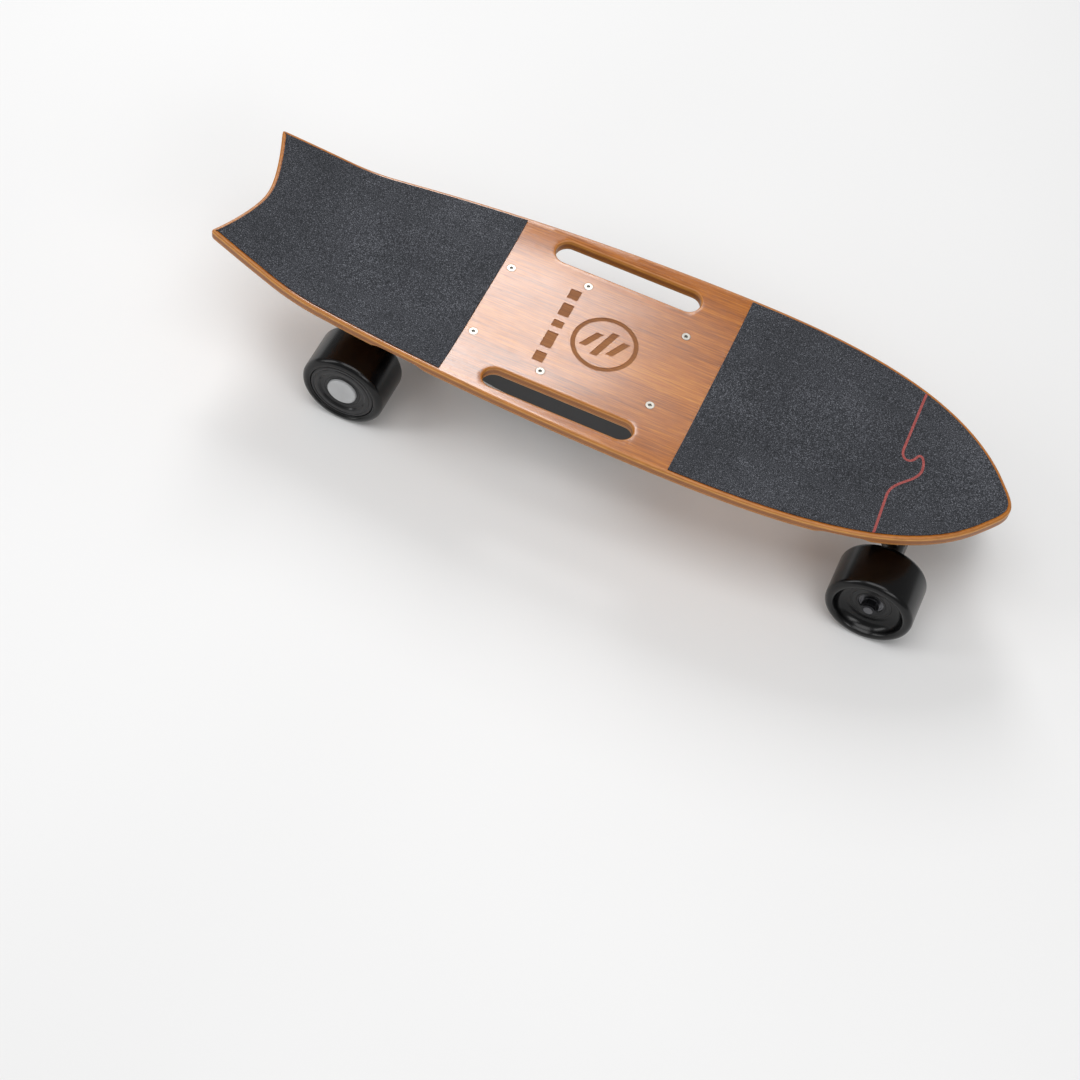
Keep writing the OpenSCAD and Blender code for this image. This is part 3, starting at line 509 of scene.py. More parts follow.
def make_bamboo():
    """Bamboo underside: straight strips with node marks, paler in the wheel wells."""
    graph = Graph("bamboo_underside")
    across = graph.node("SeparateXYZ", {0: graph.place})
    strip = graph.math("FLOOR", graph.math("DIVIDE", across.outputs["Y"], 19 * MM))
    chance = graph.node("TexWhiteNoise", {"W": strip}, noise_dimensions="1D").outputs["Value"]
    fine = graph.noise((7, 520, 200), 5, 0.6, distortion=0.15)
    broad = graph.noise((2.4, 40, 20), 3, 0.5)
    blend = graph.math("ADD", graph.math("MULTIPLY", fine, 0.55), graph.math("MULTIPLY", broad, 0.3))
    blend = graph.math("ADD", blend, graph.math("MULTIPLY", chance, 0.17))
    colour = graph.ramp(blend, (0.36, srgb("a8672b")), (0.52, srgb("c68a48")), (0.68, srgb("dda663")))
    along = graph.math("ADD", across.outputs["X"], graph.math("MULTIPLY", chance, 0.23))
    node_place = graph.math("PINGPONG", along, 0.115)
    mark = graph.between(node_place, 0.0, 1.6 * MM, 0.55, 0.0)
    mark = graph.math("MULTIPLY", mark, graph.between(graph.noise((60, 300, 60), 3), 0.4, 0.62))
    colour = graph.mix(mark, colour, srgb("8a5122"))
    seam = graph.math("PINGPONG", across.outputs["Y"], 9.5 * MM)
    colour = graph.mix(graph.between(seam, 0.0, 0.35 * MM, 0.25, 0.0), colour, srgb("8a5122"))
    well = graph.node("Attribute", attribute_name="well").outputs["Fac"]
    layers = graph.ramp(
        well,
        (0.0, srgb("c08238")),
        (0.1, srgb("d9a24e")),
        (0.2, srgb("e6c48d")),
        (0.55, srgb("e9cd9c")),
        (0.75, srgb("d9a860")),
    )
    colour = graph.mix(graph.between(well, 0.005, 0.02), colour, layers)
    return graph.shade(
        colour=colour,
        roughness=graph.between(fine, 0.3, 0.7, 0.34, 0.48),
        normal=graph.bump(fine, 0.05 * MM, 0.45),
        coat=0.2,
        coat_roughness=0.22,
    )


def make_ink():
    graph = Graph("printed_ink")
    fine = graph.noise((9, 500, 200), 4)
    colour = graph.ramp(fine, (0.3, srgb("17130f")), (0.72, srgb("33271c")))
    return graph.shade(colour=colour, roughness=graph.between(fine, 0.3, 0.7, 0.4, 0.55))


def make_grip():
    """Sprayed mineral grit: bright and dark grains on charcoal."""
    graph = Graph("grip_tape")
    grains = graph.noise(1250, 2, 0.7)
    dust = graph.noise(11, 5, 0.6)
    tone = graph.math("ADD", grains, graph.math("MULTIPLY", graph.math("SUBTRACT", dust, 0.5), 0.16))
    colour = graph.ramp(
        tone,
        (0.34, srgb("15171a")),
        (0.48, srgb("292b30")),
        (0.57, srgb("3e4046")),
        (0.7, srgb("7c7e85")),
    )
    voronoi = graph.node("TexVoronoi", {"Vector": graph.place, "Scale": 1900.0}).outputs["Distance"]
    return graph.shade(
        colour=colour,
        roughness=graph.between(grains, 0.3, 0.7, 0.92, 0.7),
        normal=graph.bump(voronoi, 0.22 * MM, 0.9),
        specular=0.35,
    )


def make_line():
    graph = Graph("grip_line")
    grains = graph.noise(1450, 2, 0.6)
    colour = graph.ramp(grains, (0.3, srgb("6f2a28")), (0.55, srgb("9c4643")), (0.75, srgb("b8706b")))
    return graph.shade(colour=colour, roughness=0.8, normal=graph.bump(grains, 0.15 * MM, 0.6))


def make_gloss(name, dark, light, rough, coat=0.0, grain=420, height=0.02, metallic=0.0, specular=0.5):
    """Smooth finish with a little unevenness: mouldings, paint, rubber and cast metal."""
    graph = Graph(name)
    cloud = graph.noise(38, 4, 0.55)
    fine = graph.noise(grain, 3, 0.6)
    return graph.shade(
        colour=graph.ramp(cloud, (0.3, srgb(dark)), (0.7, srgb(light))),
        roughness=graph.between(cloud, 0.3, 0.7, rough, rough + 0.08),
        metallic=metallic,
        normal=graph.bump(fine, height * MM, 0.5),
        coat=coat,
        coat_roughness=0.06,
        specular=specular,
    )


def make_turned(name, dark, light, rough, axle_x, metallic=1.0, grooves=2600.0, coat=0.0):
    """Lathe-turned finish: fine rings round an axle, which show as a faint sheen."""
    graph = Graph(name)
    split = graph.node("SeparateXYZ", {0: graph.scaled((1, 1, 1), (-axle_x, 0, -AXLE_Z))})
    flat = graph.node("CombineXYZ", {"X": split.outputs["X"], "Y": split.outputs["Z"]})
    radius = graph.node("VectorMath", {0: flat.outputs[0]}, operation="LENGTH").outputs["Value"]
    rings = graph.node("TexNoise", {"W": radius, "Scale": grooves, "Detail": 2.0}, noise_dimensions="1D")
    cloud = graph.noise(60, 3)
    ring_part = graph.math("MULTIPLY", rings.outputs["Fac"], 0.6)
    cloud_part = graph.math("MULTIPLY", cloud, 0.4)
    blend = graph.math("ADD", ring_part, cloud_part)
    return graph.shade(
        colour=graph.ramp(blend, (0.3, srgb(dark)), (0.7, srgb(light))),
        roughness=graph.between(rings.outputs["Fac"], 0.3, 0.7, rough, rough + 0.1),
        metallic=metallic,
        normal=graph.bump(rings.outputs["Fac"], 0.015 * MM, 0.35),
        coat=coat,
        coat_roughness=0.1,
    )


def make_striped(name, one, other, scale, rough, metallic=0.0):
    """Two tones in fine bands: windings, cells and circuit boards."""
    graph = Graph(name)
    bands = graph.noise(scale, 2, 0.4)
    return graph.shade(
        colour=graph.ramp(bands, (0.42, srgb(one)), (0.58, srgb(other))),
        roughness=graph.between(bands, 0.3, 0.7, rough, rough + 0.12),
        metallic=metallic,
        normal=graph.bump(bands, 0.05 * MM, 0.5),
    )


MATERIALS = {
    "grip": make_grip(),
    "line": make_line(),
    "bright_screw": make_gloss("bright_screw", "8f8c86", "b3b0a8", 0.3, grain=900, metallic=1.0),
    "black_rubber": make_gloss("black_rubber", "111112", "1d1d1f", 0.5, grain=1400, height=0.05),
    "dark_steel": make_gloss("dark_steel", "1a1a1c", "333336", 0.28, grain=700, metallic=0.85),
    "black_casting": make_gloss("black_casting", "08080a", "121214", 0.24, coat=0.5, grain=330, height=0.06),
    "urethane": make_gloss("urethane", "060607", "0d0d0e", 0.3, coat=0.2, grain=160, height=0.015),
    "axle_steel": make_gloss("axle_steel", "4c4c4f", "737376", 0.3, grain=900, metallic=1.0),
    "wheel_urethane": make_gloss("wheel_urethane", "020203", "050506", 0.19, grain=90, specular=0.36),
    "core_plastic": make_gloss("core_plastic", "0b0b0c", "161617", 0.35, grain=600, height=0.03),
    "windings": make_striped("windings", "8a4a20", "c97f45", (120, 900, 900), 0.3, 1.0),
    "black_can": make_turned("black_can", "0d0d0f", "1b1b1d", 0.24, REAR_AXLE_X, 0.5, coat=0.3),
    "polished_flange": make_turned("polished_flange", "9c9fa3", "d9dbde", 0.12, REAR_AXLE_X),
    "grey_cap": make_gloss("grey_cap", "a9aaab", "bdbebf", 0.3, coat=0.2, grain=800, height=0.01),
    "cable": make_gloss("cable", "0e0e0f", "19191a", 0.36, grain=1200, height=0.03),
    "box_plastic": make_gloss("box_plastic", "1b1c1e", "26272a", 0.42, grain=2100, height=0.045),
    "cells": make_striped("cells", "2c6c9e", "3f86b9", (60, 60, 60), 0.3),
    "circuit_board": make_striped("circuit_board", "174f2c", "2a7a44", (300, 300, 300), 0.4),
    "button_plastic": make_gloss("button_plastic", "121213", "1c1c1e", 0.3, coat=0.2, grain=900),
    "lens": make_gloss("lens", "b9c4cc", "dfe6ea", 0.12, coat=0.5, grain=900, height=0.01),
}
TOP_WOOD = make_top_wood("top_veneer")
ENGRAVED_WOOD = make_top_wood("engraved_veneer", engraved=True)
EDGE_WOOD = make_edge_wood()
BAMBOO = make_bamboo()
INK = make_ink()


# ---------- deck ----------

TOP, ENGRAVED, EDGE, UNDER, PRINTED = range(5)
ENGRAVING_DEPTH = 0.4 * MM
TOP_MARKS = emblem(-13.4 * MM, 0, 29 * MM) + dashes(
    -57 * MM, 43 * MM, 10 * MM, (1.0, 1.6, 0.7, 1.3, 1.0), 6 * MM
)
UNDER_MARKS = emblem(148 * MM, 0, 15.5 * MM) + dashes(
    123.5 * MM, 24 * MM, 6 * MM, (1.0, 1.6, 0.7, 1.3, 1.0), 3.4 * MM
)


def well_points():
    """Closer points on and inside the wheel wells' rims, for the underside's mesh."""
    points = []
    for well_x, half, reach in WELLS:
        for share in (1.04, 1.0, 0.96, 0.88, 0.78, 0.66, 0.52, 0.36, 0.18):
            for turn in np.linspace(math.pi, 2 * math.pi, int(8 + 44 * share)):
                x = well_x + half * share * math.cos(turn)
                edge = np.interp(x, LEFT_EDGE[:, 0], LEFT_EDGE[:, 1])
                y = edge + reach * share * math.sin(turn)
                points += [(x, y), (x, -y)]
    return np.array(points)


def engrave(piece):
    """Sinks the engraved faces of the deck, which leaves walls round them."""
    work = bmesh.new()
    work.from_mesh(piece.data)
    marked = [face for face in work.faces if face.material_index == ENGRAVED]
    result = bmesh.ops.extrude_face_region(work, geom=marked, use_keep_orig=False)
    sunk = [item for item in result["geom"] if isinstance(item, bmesh.types.BMVert)]
    bmesh.ops.translate(work, verts=sunk, vec=(0, 0, -ENGRAVING_DEPTH))
    bmesh.ops.delete(work, geom=marked, context="FACES_ONLY")
    bmesh.ops.recalc_face_normals(work, faces=work.faces)
    limit = math.radians(38)
    for edge in work.edges:
        edge.smooth = len(edge.link_faces) == 2 and edge.calc_face_angle(0) < limit
    for face in work.faces:
        face.smooth = True
    work.to_mesh(piece.data)
    work.free()


def build_deck():
    """The laminated board with rounded edges, slots, screw seats, wheel wells and marks."""
    slot_rounding = 1.6 * MM
    rim = rounded_rim(EDGE_ROUNDING, DECK_THICKNESS)
    slot_rim = rounded_rim(slot_rounding, DECK_THICKNESS)
    outer = OUTLINE + inward(OUTLINE) * EDGE_ROUNDING
    slot_mouths = [loop - inward(loop) * slot_rounding for loop in SLOTS]
    seats = [circle(x, y, 4.15 * MM, 28) for x, y in SCREWS]
    plans, depths, faces, kinds = [], [], [], []

    def add(plan, depth, new_faces, kind):
        first = sum(len(p) for p in plans)
        plans.append(plan)
        depths.append(np.broadcast_to(depth, len(plan)))
        faces.extend([tuple(first + k for k in face) for face in new_faces])
        kinds.extend(kind if np.ndim(kind) else [kind] * len(new_faces))

    flat, top_faces = triangulated(outer, slot_mouths + seats, TOP_MARKS, 4 * MM)
    marked = in_marks(flat[top_faces].mean(1), TOP_MARKS)
    add(flat, 0.0, top_faces, np.where(marked, ENGRAVED, TOP))
    flat, low_faces = triangulated(outer, slot_mouths, UNDER_MARKS, 4 * MM, well_points())
    marked = in_marks(flat[low_faces].mean(1), UNDER_MARKS)
    add(flat, DECK_THICKNESS, low_faces[:, ::-1], np.where(marked, PRINTED, UNDER))
    add(*ladder(OUTLINE, 1, rim), EDGE)
    for loop in SLOTS:
        add(*ladder(loop, -1, slot_rim, True), EDGE)
    for loop in seats:
        seat = [(0, 0), (0.25 * MM, 0.25 * MM), (1.8 * MM, 1.85 * MM),
                (1.8 * MM, 6 * MM), (4.149 * MM, 6 * MM)]
        add(*ladder(loop, 1, seat, True), TOP)

    plan, depth = np.vstack(plans), np.concatenate(depths)
    height = deck_height(plan[:, 0], plan[:, 1], depth)
    well = np.maximum(well_nearness(plan[:, 0], plan[:, 1]), 0)
    low_side = np.clip(depth / DECK_THICKNESS * 2 - 1, 0, 1)
    height += WELL_DEPTH * np.minimum(well * 2.2, 1) * (2 - np.minimum(well * 2.2, 1)) * low_side
    piece = add_piece(
        "wooden_deck",
        np.column_stack([plan, height]),
        faces,
        "board",
        [TOP_WOOD, ENGRAVED_WOOD, EDGE_WOOD, BAMBOO, INK],
        ["deck"],
        kinds,
        {"ply": depth / DECK_THICKNESS, "well": well * (depth > 0.9 * DECK_THICKNESS)},
        38,
    )
    engrave(piece)
    return piece


def build_sheet(name, outer, marks, keep, low_depth, high_depth, slot, node):
    """Closed thin sheet on the deck: the triangles whose middles are kept."""
    flat, tris = triangulated(outer, (), marks, 4.5 * MM)
    tris = tris[keep(flat[tris].mean(1))]
    edges = {}
    for a, b, c in tris:
        for edge in ((a, b), (b, c), (c, a)):
            edges[edge] = edges.get(edge[::-1]) is None
            if not edges[edge]:
                edges[edge[::-1]] = False
    count = len(flat)
    walls = [(b, a, a + count, b + count) for (a, b), open_edge in edges.items() if open_edge]
    verts = np.vstack(
        [
            np.column_stack([flat, deck_height(flat[:, 0], flat[:, 1], -high_depth)]),
            np.column_stack([flat, deck_height(flat[:, 0], flat[:, 1], -low_depth)]),
        ]
    )
    faces = [tuple(t) for t in tris] + [tuple(t + count)[::-1] for t in tris] + walls
    used = sorted({k for face in faces for k in face})
    order = {old: new for new, old in enumerate(used)}
    faces = [tuple(order[k] for k in face) for face in faces]
    return add_piece(name, verts[used], faces, "board", [MATERIALS[slot]], [node], sharp=50)


def open_normals(line):
    """Unit sideways vectors of an open line."""
    step = np.gradient(line, axis=0)
    step /= np.linalg.norm(step, axis=1)[:, None]
    return np.stack([-step[:, 1], step[:, 0]], axis=1)


def build_grip():
    """Two pieces of grip tape and the wavy coloured line in the front one."""
    edge = softened(resampled(OUTLINE + inward(OUTLINE) * GRIP_MARGIN, 1.9 * MM), 1.2 * MM)
    rear_edge, front_edge = -125 * MM, 83.3 * MM

    def cut(keep_x, x):
        """The grip's outline cut square at x, keeping the points that keep_x allows."""
        kept = [k for k in range(len(edge)) if keep_x(edge[k, 0])]
        gap = next((n for n in range(1, len(kept)) if kept[n] != kept[n - 1] + 1), 0)
        loop = edge[kept[gap:] + kept[:gap]]
        first, last = loop[-1, 1], loop[0, 1]
        count = int(abs(first - last) / (2.4 * MM))
        across = np.linspace(first, last, count)
        return np.vstack([loop, np.column_stack([np.full(count, x), across])])

    rear = cut(lambda x: x < rear_edge - 0.8 * MM, rear_edge)
    front = cut(lambda x: x > front_edge + 0.8 * MM, front_edge)
    everything = lambda middles: np.ones(len(middles), bool)
    build_sheet("grip_rear", rear, (), everything, 0, GRIP_THICKNESS, "grip", "grip_tape_rear")

    def along(*places):
        """Points in the row frame from distances to the line's middle, in millimetres."""
        return [(262 * MM + dx * MM, y * MM) for dx, y in places]

    line = chain(
        np.linspace(*along((-12.4, 72), (-11.6, 16)), 26),
        bezier(*along((-11.6, 16), (-11.4, 5), (-2, 3), (1, 13)), 16),
        bezier(*along((1, 13), (4, 21), (10, 9), (9, 0)), 16),
        bezier(*along((9, 0), (6, -14), (-9, -18), (-9.6, -34)), 18),
        np.linspace(*along((-9.6, -34), (-7.2, -74)), 20),
    )
    line = line[inside(line, front)]
    side = open_normals(line) * 1.1 * MM
    past = 6 * MM * np.array([(0, 1), (0, -1)])
    band = np.vstack([[line[0] + past[0]] + side[:1], line + side, [line[-1] + past[1]] + side[-1:]])
    back = np.vstack([[line[-1] + past[1]] - side[-1:], (line - side)[::-1], [line[0] + past[0]] - side[:1]])
    band = np.vstack([band, back])
    on_line = lambda middles: inside(middles, band)
    off_line = lambda middles: ~inside(middles, band)
    build_sheet("grip_front", front, [band], off_line, 0, GRIP_THICKNESS, "grip", "grip_tape_front")
    build_sheet("grip_line", front, [band], on_line, 0, GRIP_THICKNESS * 0.97, "line", "grip_line_inlay")


build_deck()
build_grip()


# ---------- turned parts ----------


def eased(profile, radius, steps=3):
    """The closed profile with each corner rounded."""
    points = np.array(profile, float)
    result = []
    for before, here, after in zip(np.roll(points, 1, axis=0), points, np.roll(points, -1, axis=0)):
        if here[0] == 0:
            result.append(here)
            continue
        back, on = before - here, after - here
        long_back, long_on = np.linalg.norm(back), np.linalg.norm(on)
        bend = math.pi - math.acos(np.clip(back @ on / (long_back * long_on), -1, 1))
        if bend < math.radians(14):
            result.append(here)
            continue
        a = here + back * min(radius / long_back, 0.45)
        b = here + on * min(radius / long_on, 0.45)
        for t in np.linspace(0, 1, steps + 1):
            result.append((1 - t) ** 2 * a + 2 * t * (1 - t) * here + t * t * b)
    return np.array(result)


def lathe(name, profile, axle_x, side, body, slot, stands_for, rounding=0.5, count=128):
    """Turned piece from a closed profile of (radius, place along the axle) in millimetres."""
    points = eased(profile, rounding) * MM
    turns = np.arange(count) * 2 * math.pi / count
    verts = np.array(
        [
            (axle_x + r * math.cos(a), side * along, AXLE_Z + r * math.sin(a))
            for a in turns
            for r, along in points
        ]
    )
    size = len(points)
    faces = []
    for i in range(count):
        for k in range(size):
            j, m = (i + 1) % count, (k + 1) % size
            if max(points[k, 0], points[m, 0]) > 0:
                faces.append((i * size + k, i * size + m, j * size + m, j * size + k))
    return add_piece(name, verts, faces, body, [MATERIALS[slot]], stands_for, sharp=34)


def arc(radius, along, bend, start, end, count=6):
    """Round stretch of a profile, in degrees from the direction away from the axle."""
    return [
        (radius + bend * math.cos(math.radians(a)), along + bend * math.sin(math.radians(a)))
        for a in np.linspace(start, end, count + 1)
    ]


WHEEL_RADIUS = (TYRE_HIGH.z - TYRE_LOW.z) / 2 / MM
WHEEL_IN = TYRE_LOW.y / MM
WHEEL_OUT = TYRE_HIGH.y / MM


def build_motor_wheel(side, word):
    """Rear wheel: sleeve over the rotor can, stepped outer face, polished inner flange, cap."""
    body = f"{word}_rear_wheel"
    r, out = WHEEL_RADIUS, WHEEL_OUT
    sleeve = (
        [(30.01, WHEEL_IN + 2.4), (31.5, WHEEL_IN)]
        + arc(r - 4.5, WHEEL_IN + 4.5, 4.5, -90, 0, 9)
        + arc(r - 5, out - 5, 5, 0, 90, 9)
        + [(31.8, out - 0.05), (31.2, out - 0.9), (30.01, out - 1.4)]
    )
    lathe(f"{word}_rear_tyre", sleeve, REAR_AXLE_X, side, body, "wheel_urethane",
          [f"{word}_motor_tyre"], 0.35, 160)
    can = [
        (25, 61), (27.6, 61), (27.6, 55.05), (30, 55.05), (30, out - 2.2), (28.9, out - 1.2),
        (27.2, out - 1.2), (26.9, out - 1.7), (26.2, out - 1.7), (25.9, out - 1.2), (22.4, out - 1.2),
        (20.8, out - 3.2), (17.4, out - 3.2), (17.1, out - 3.6), (16.5, out - 3.6), (16.2, out - 3.2),
        (13.7, out - 3.2), (13.6, out - 5.2), (5, out - 5.2), (5, 91.6), (11, 91.6), (11, 84.4),
        (13.5, 84.4), (13.5, 88), (25, 88),
    ]
    lathe(f"{word}_rotor_can", can, REAR_AXLE_X, side, body, "black_can", [f"{word}_motor_can"], 0.35)
    flange = [
        (11, 55), (11, 48.4), (9, 48.4), (9, 46), (16.2, 46), (17.6, 46.5), (18.2, 47.4), (22.6, 51.6),
        (23.2, 51.9), (23.6, 52.4), (25, 52.4), (29.6, 52.4), (29.6, 55), (27.5, 55), (27.5, 57), (13, 57),
        (13, 55.5), (11, 55.5),
    ]
    lathe(f"{word}_flange", flange, REAR_AXLE_X, side, body, "polished_flange", [f"{word}_motor_flange"], 0.3)
    cap = [(0, out - 5.1), (13.5, out - 5.1), (13.5, out - 1.6),
           (12.9, out - 0.7), (11.8, out - 0.4), (0, out - 0.3)]
    lathe(f"{word}_cap", cap, REAR_AXLE_X, side, body, "grey_cap", [f"{word}_motor_cap"], 0.4)
    build_flange_screws(side, word, body)


def build_flange_screws(side, word, body):
    """Six small socket screws in the flange's rim."""
    verts, faces = [], []
    head = [(0, 50.95), (0.55, 50.95), (0.75, 50.5), (1.15, 50.5),
            (1.4, 50.7), (1.45, 51.2), (1.45, 52.9), (0, 52.9)]
    sides = 18
    for k in range(6):
        turn = math.radians(60 * k + 30)
        x = REAR_AXLE_X + side * 26.6 * MM * math.cos(turn)
        z = AXLE_Z + 26.6 * MM * math.sin(turn)
        first = len(verts)
        for i in range(sides):
            a = i * 2 * math.pi / sides
            verts += [(x + r * MM * math.cos(a), side * along * MM, z + r * MM * math.sin(a))
                      for r, along in head]
        size = len(head)
        for i in range(sides):
            for j in range(size - 1):
                n = (i + 1) % sides
                here, there = first + i * size + j, first + n * size + j
                faces.append((here, here + 1, there + 1, there))
    add_piece(f"{word}_flange_screws", verts, faces, body, [MATERIALS["dark_steel"]], sharp=30)


def build_front_wheel(side, word):
    """Front wheel: cast tyre with a broad lip and a deep dish, and its moulded core."""
    body = f"{word}_front_wheel"
    r, out = WHEEL_RADIUS, WHEEL_OUT
    inner_curve = bezier((20, 62), (26.5, 62.6), (28.6, 58), (29.6, WHEEL_IN + 2.2), 9)
    inner_dish = [(18, 62)] + [tuple(p) for p in inner_curve]
    outer_dish = [tuple(p) for p in bezier((29.6, out - 2.2), (28.6, out - 6), (26.5, 86.8), (20, 87.4), 9)]
    tyre = (
        inner_dish
        + [(30.4, WHEEL_IN + 0.7), (31.6, WHEEL_IN + 0.1)]
        + arc(r - 5, WHEEL_IN + 5, 5, -90, 0, 9)
        + arc(r - 5, out - 5, 5, 0, 90, 9)
        + [(31.6, out - 0.1), (30.4, out - 0.7)]
        + outer_dish
        + [(18, 87.4)]
    )
    lathe(f"{word}_tyre", tyre, FRONT_AXLE_X, side, body, "wheel_urethane", [f"{word}_front_tyre"], 0.3, 160)
    core = [
        (11, 62), (12.4, 62), (12.8, 62.6), (16.2, 62.6), (16.6, 62), (18, 62), (18, 87.4), (16.8, 87.4),
        (16.4, 86.8), (13, 86.8), (12.6, 87.4), (11, 87.4), (11, 79.4), (8, 79.4), (8, 70), (11, 70),
    ]
    lathe(f"{word}_core", core, FRONT_AXLE_X, side, body, "core_plastic", [f"{word}_front_core"], 0.25)


for side, word in ((1, "left"), (-1, "right")):
    build_motor_wheel(side, word)
    build_front_wheel(side, word)


# ---------- motor cables ----------

CABLE_RADIUS = 2.4 * MM
CABLE_ROUTE = [
    (-0.202, 0.043, 0.039),
    (-0.194, 0.043, 0.041),
    (-0.187, 0.043, 0.047),
    (-0.181, 0.038, 0.055),
    (-0.175, 0.029, 0.063),
    (-0.166, 0.020, 0.071),
    (-0.155, 0.013, 0.079),
    (-0.145, 0.009, 0.0855),
    (-0.137, 0.008, 0.088),
    (-0.129, 0.008, 0.088),
    (-0.121, 0.008, 0.088),
]


def smooth_route(route, steps):
    """Points on one smooth curve through the route."""
    points = []
    for i in range(len(route) - 1):
        a, b, c, d = (np.array(route[min(max(k, 0), len(route) - 1)]) for k in (i - 1, i, i + 1, i + 2))
        for t in np.arange(steps) / steps:
            curve = 2 * b + (c - a) * t + (2 * a - 5 * b + 4 * c - d) * t**2 + (3 * b - a - 3 * c + d) * t**3
            points.append(curve / 2)
    return np.array(points + [np.array(route[-1])])


def build_cable(side, word):
    """Jacketed motor cable from the hollow axle to the gland on the box."""
    path = smooth_route(CABLE_ROUTE, 8) * (1, side, 1)
    sides = 20
    verts, faces = [], []
    for i, point in enumerate(path):
        ahead = path[min(i + 1, len(path) - 1)] - path[max(i - 1, 0)]
        ahead /= np.linalg.norm(ahead)
        across = np.cross(ahead, (0, 0, 1))
        across /= np.linalg.norm(across)
        up = np.cross(across, ahead)
        for k in range(sides):
            a = k * 2 * math.pi / sides
            verts.append(point + CABLE_RADIUS * (math.cos(a) * across + math.sin(a) * up))
    for i in range(len(path) - 1):
        for k in range(sides):
            n = (k + 1) % sides
            faces.append((i * sides + k, i * sides + n, (i + 1) * sides + n, (i + 1) * sides + k))
    faces += [tuple(range(sides)), tuple(range(len(verts) - 1, len(verts) - 1 - sides, -1))]
    cable = add_piece(f"{word}_cable", verts, faces, "board", [MATERIALS["cable"]],
                      [f"motor_cable_{word}"], sharp=60)
    cable.parent = None
    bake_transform(cable)


for side, word in ((1, "left"), (-1, "right")):
    build_cable(side, word)


# ---------- finishes of the CAD nodes that stay ----------

SLOT_OF = {entry["node"]: entry["material_slot"] for entry in frame["record"]["subparts"]}

CASTINGS = ("rear_baseplate", "front_baseplate")
WIDE_EDGES = {"box_shell": 0.4, "rear_riser_pads": 0.6, "front_riser_pads": 0.6}
HANGERS = ("rear_hanger", "front_hanger")
NARROW_EDGE, HANGER_EDGE = 0.22, 0.8
CASTING_VOXEL = 0.55 * MM


def finish_node(name):
    """Material and softened edges for a CAD node that is shown as it is."""
    node = NODES[name]
    material = MATERIALS[SLOT_OF[name]]
    node.data.materials.clear()
    node.data.materials.append(material)
    weld = node.modifiers.new("weld", "WELD")
    weld.merge_threshold = 1e-6
    if name in CASTINGS:
        remesh = node.modifiers.new("remesh", "REMESH")
        remesh.mode = "VOXEL"
        remesh.voxel_size = CASTING_VOXEL
        remesh.use_smooth_shade = True
        soft = node.modifiers.new("soften", "SMOOTH")
        soft.factor = 0.5
        soft.iterations = 14
        return
    flats = node.modifiers.new("flats", "DECIMATE")
    flats.decimate_type = "DISSOLVE"
    flats.angle_limit = math.radians(0.6)
    bevel = node.modifiers.new("edges", "BEVEL")
    bevel.width = (HANGER_EDGE if name in HANGERS else WIDE_EDGES.get(name, NARROW_EDGE)) * MM
    bevel.segments = 3
    bevel.limit_method = "ANGLE"
    bevel.angle_limit = math.radians(30)
    bevel.use_clamp_overlap = name not in WIDE_EDGES
    weighted = node.modifiers.new("normals", "WEIGHTED_NORMAL")
    weighted.mode = "FACE_AREA"
    weighted.weight = 100
    weighted.keep_sharp = True
    for face in node.data.polygons:
        face.use_smooth = True


for name, node in NODES.items():
    if not node.hide_render:
        finish_node(name)


# ---------- stage, lights and camera ----------


def floor_material():
    """Plain pale floor that can be seen through from below."""
    graph = Graph("pale_floor")
    cloud = graph.noise(1.3, 2)
    graph.shade(
        colour=graph.ramp(cloud, (0.3, (0.8, 0.8, 0.8)), (0.7, (0.84, 0.84, 0.84))),
        roughness=0.9,
        specular=0.1,
    )
    clear = graph.node("BsdfTransparent")
    mix = graph.node("MixShader")
    graph.set(mix.inputs[0], graph.node("NewGeometry").outputs["Backfacing"])
    graph.set(mix.inputs[1], graph.shader.outputs[0])
    graph.set(mix.inputs[2], clear.outputs[0])
    output = next(n for n in graph.tree.nodes if n.type == "OUTPUT_MATERIAL")
    graph.set(output.inputs[0], mix.outputs[0])
    return graph.material


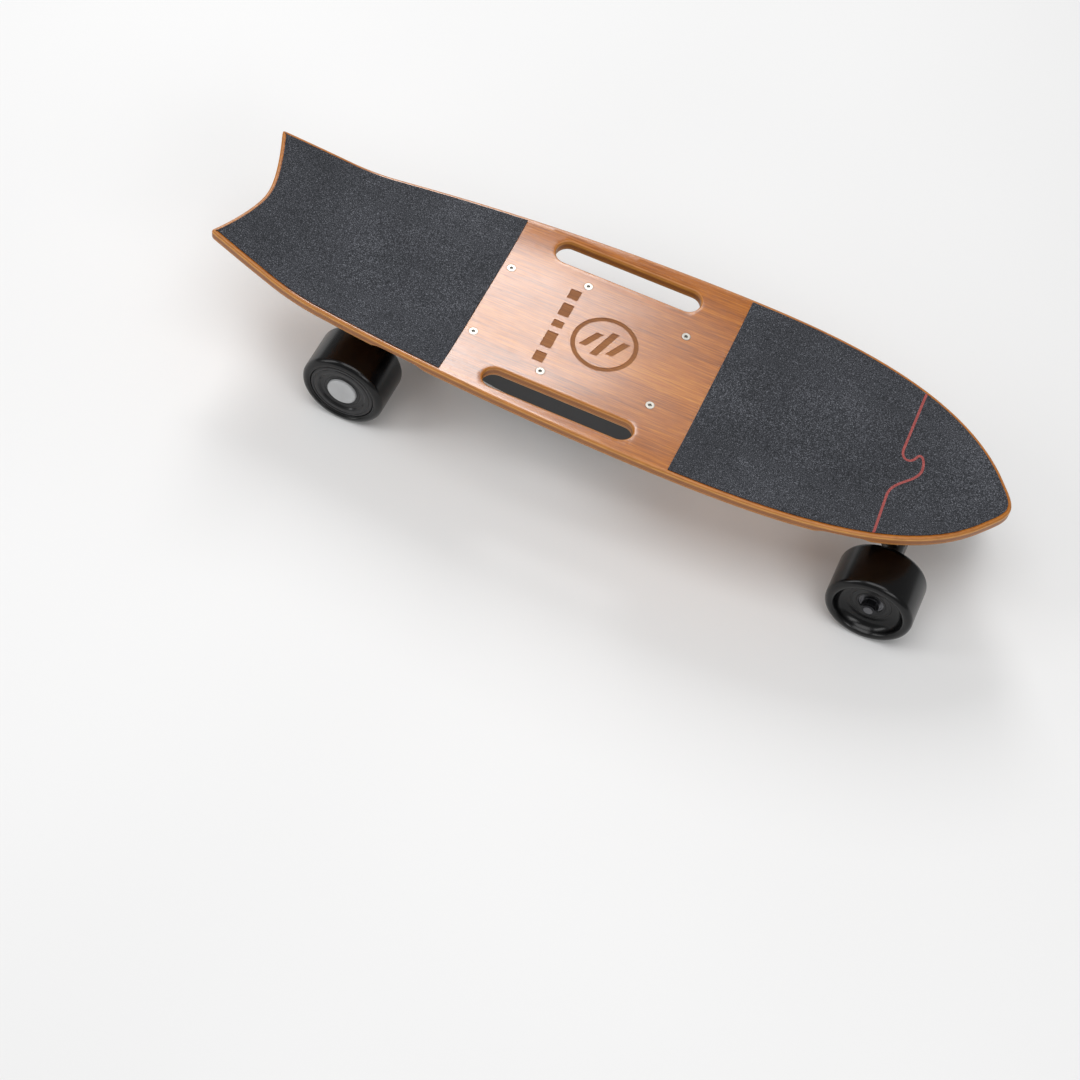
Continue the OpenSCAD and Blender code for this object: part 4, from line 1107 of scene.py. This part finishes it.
def build_floor():
    """One large flat floor under the wheels."""
    half = 7.0
    mesh = bpy.data.meshes.new("floor")
    corners = [(-half, -half, 0), (half, -half, 0), (half, half, 0), (-half, half, 0)]
    mesh.from_pydata(corners, [], [(0, 1, 2, 3)])
    floor = bpy.data.objects.new("floor", mesh)
    bpy.context.scene.collection.objects.link(floor)
    floor.location.z = -0.2 * MM
    mesh.materials.append(floor_material())


def softbox(name, place, target, width, height, power):
    """Rectangular soft light aimed at a point."""
    data = bpy.data.lights.new(name, "AREA")
    data.shape = "RECTANGLE"
    data.size, data.size_y = width, height
    data.energy = power
    light = bpy.data.objects.new(name, data)
    light.location = place
    light.rotation_euler = (Vector(target) - Vector(place)).to_track_quat("-Z", "Y").to_euler()
    bpy.context.scene.collection.objects.link(light)


def build_world(strength):
    world = bpy.data.worlds.new("studio")
    world.use_nodes = True
    world.node_tree.nodes["Background"].inputs["Color"].default_value = (1, 1, 1, 1)
    world.node_tree.nodes["Background"].inputs["Strength"].default_value = strength
    bpy.context.scene.world = world


def build_camera():
    """The photograph's viewing angle: from the right side, above and a little ahead of the middle."""
    data = bpy.data.cameras.new("camera")
    data.lens = 75.2
    data.sensor_width = 36
    camera = bpy.data.objects.new("camera", data)
    right = Vector((0.912, 0.401, 0.098)).normalized()
    forward = Vector((-0.148, 0.540, -0.829))
    forward = (forward - right * forward.dot(right)).normalized()
    up = right.cross(forward)
    turn = Matrix((right, up, -forward)).transposed()
    camera.matrix_world = Matrix.Translation((0.2818, -1.1676, 1.5907)) @ turn.to_4x4()
    bpy.context.scene.collection.objects.link(camera)
    bpy.context.scene.camera = camera


build_floor()
build_world(0.3)
softbox("overhead", (0.1, -0.5, 2.4), (0, 0, 0.1), 2.2, 1.4, 27)
softbox("glare", (-0.8, 1.65, 1.75), (-0.1, 0, 0.1), 0.7, 1.2, 26)
softbox("side", (-1.5, -0.9, 1.1), (0, 0, 0.06), 0.5, 1.4, 8)
softbox("front", (1.3, -1.2, 1.4), (0.1, 0, 0.06), 1.2, 0.6, 8)
build_camera()
bpy.context.scene.view_settings.view_transform = "Standard"
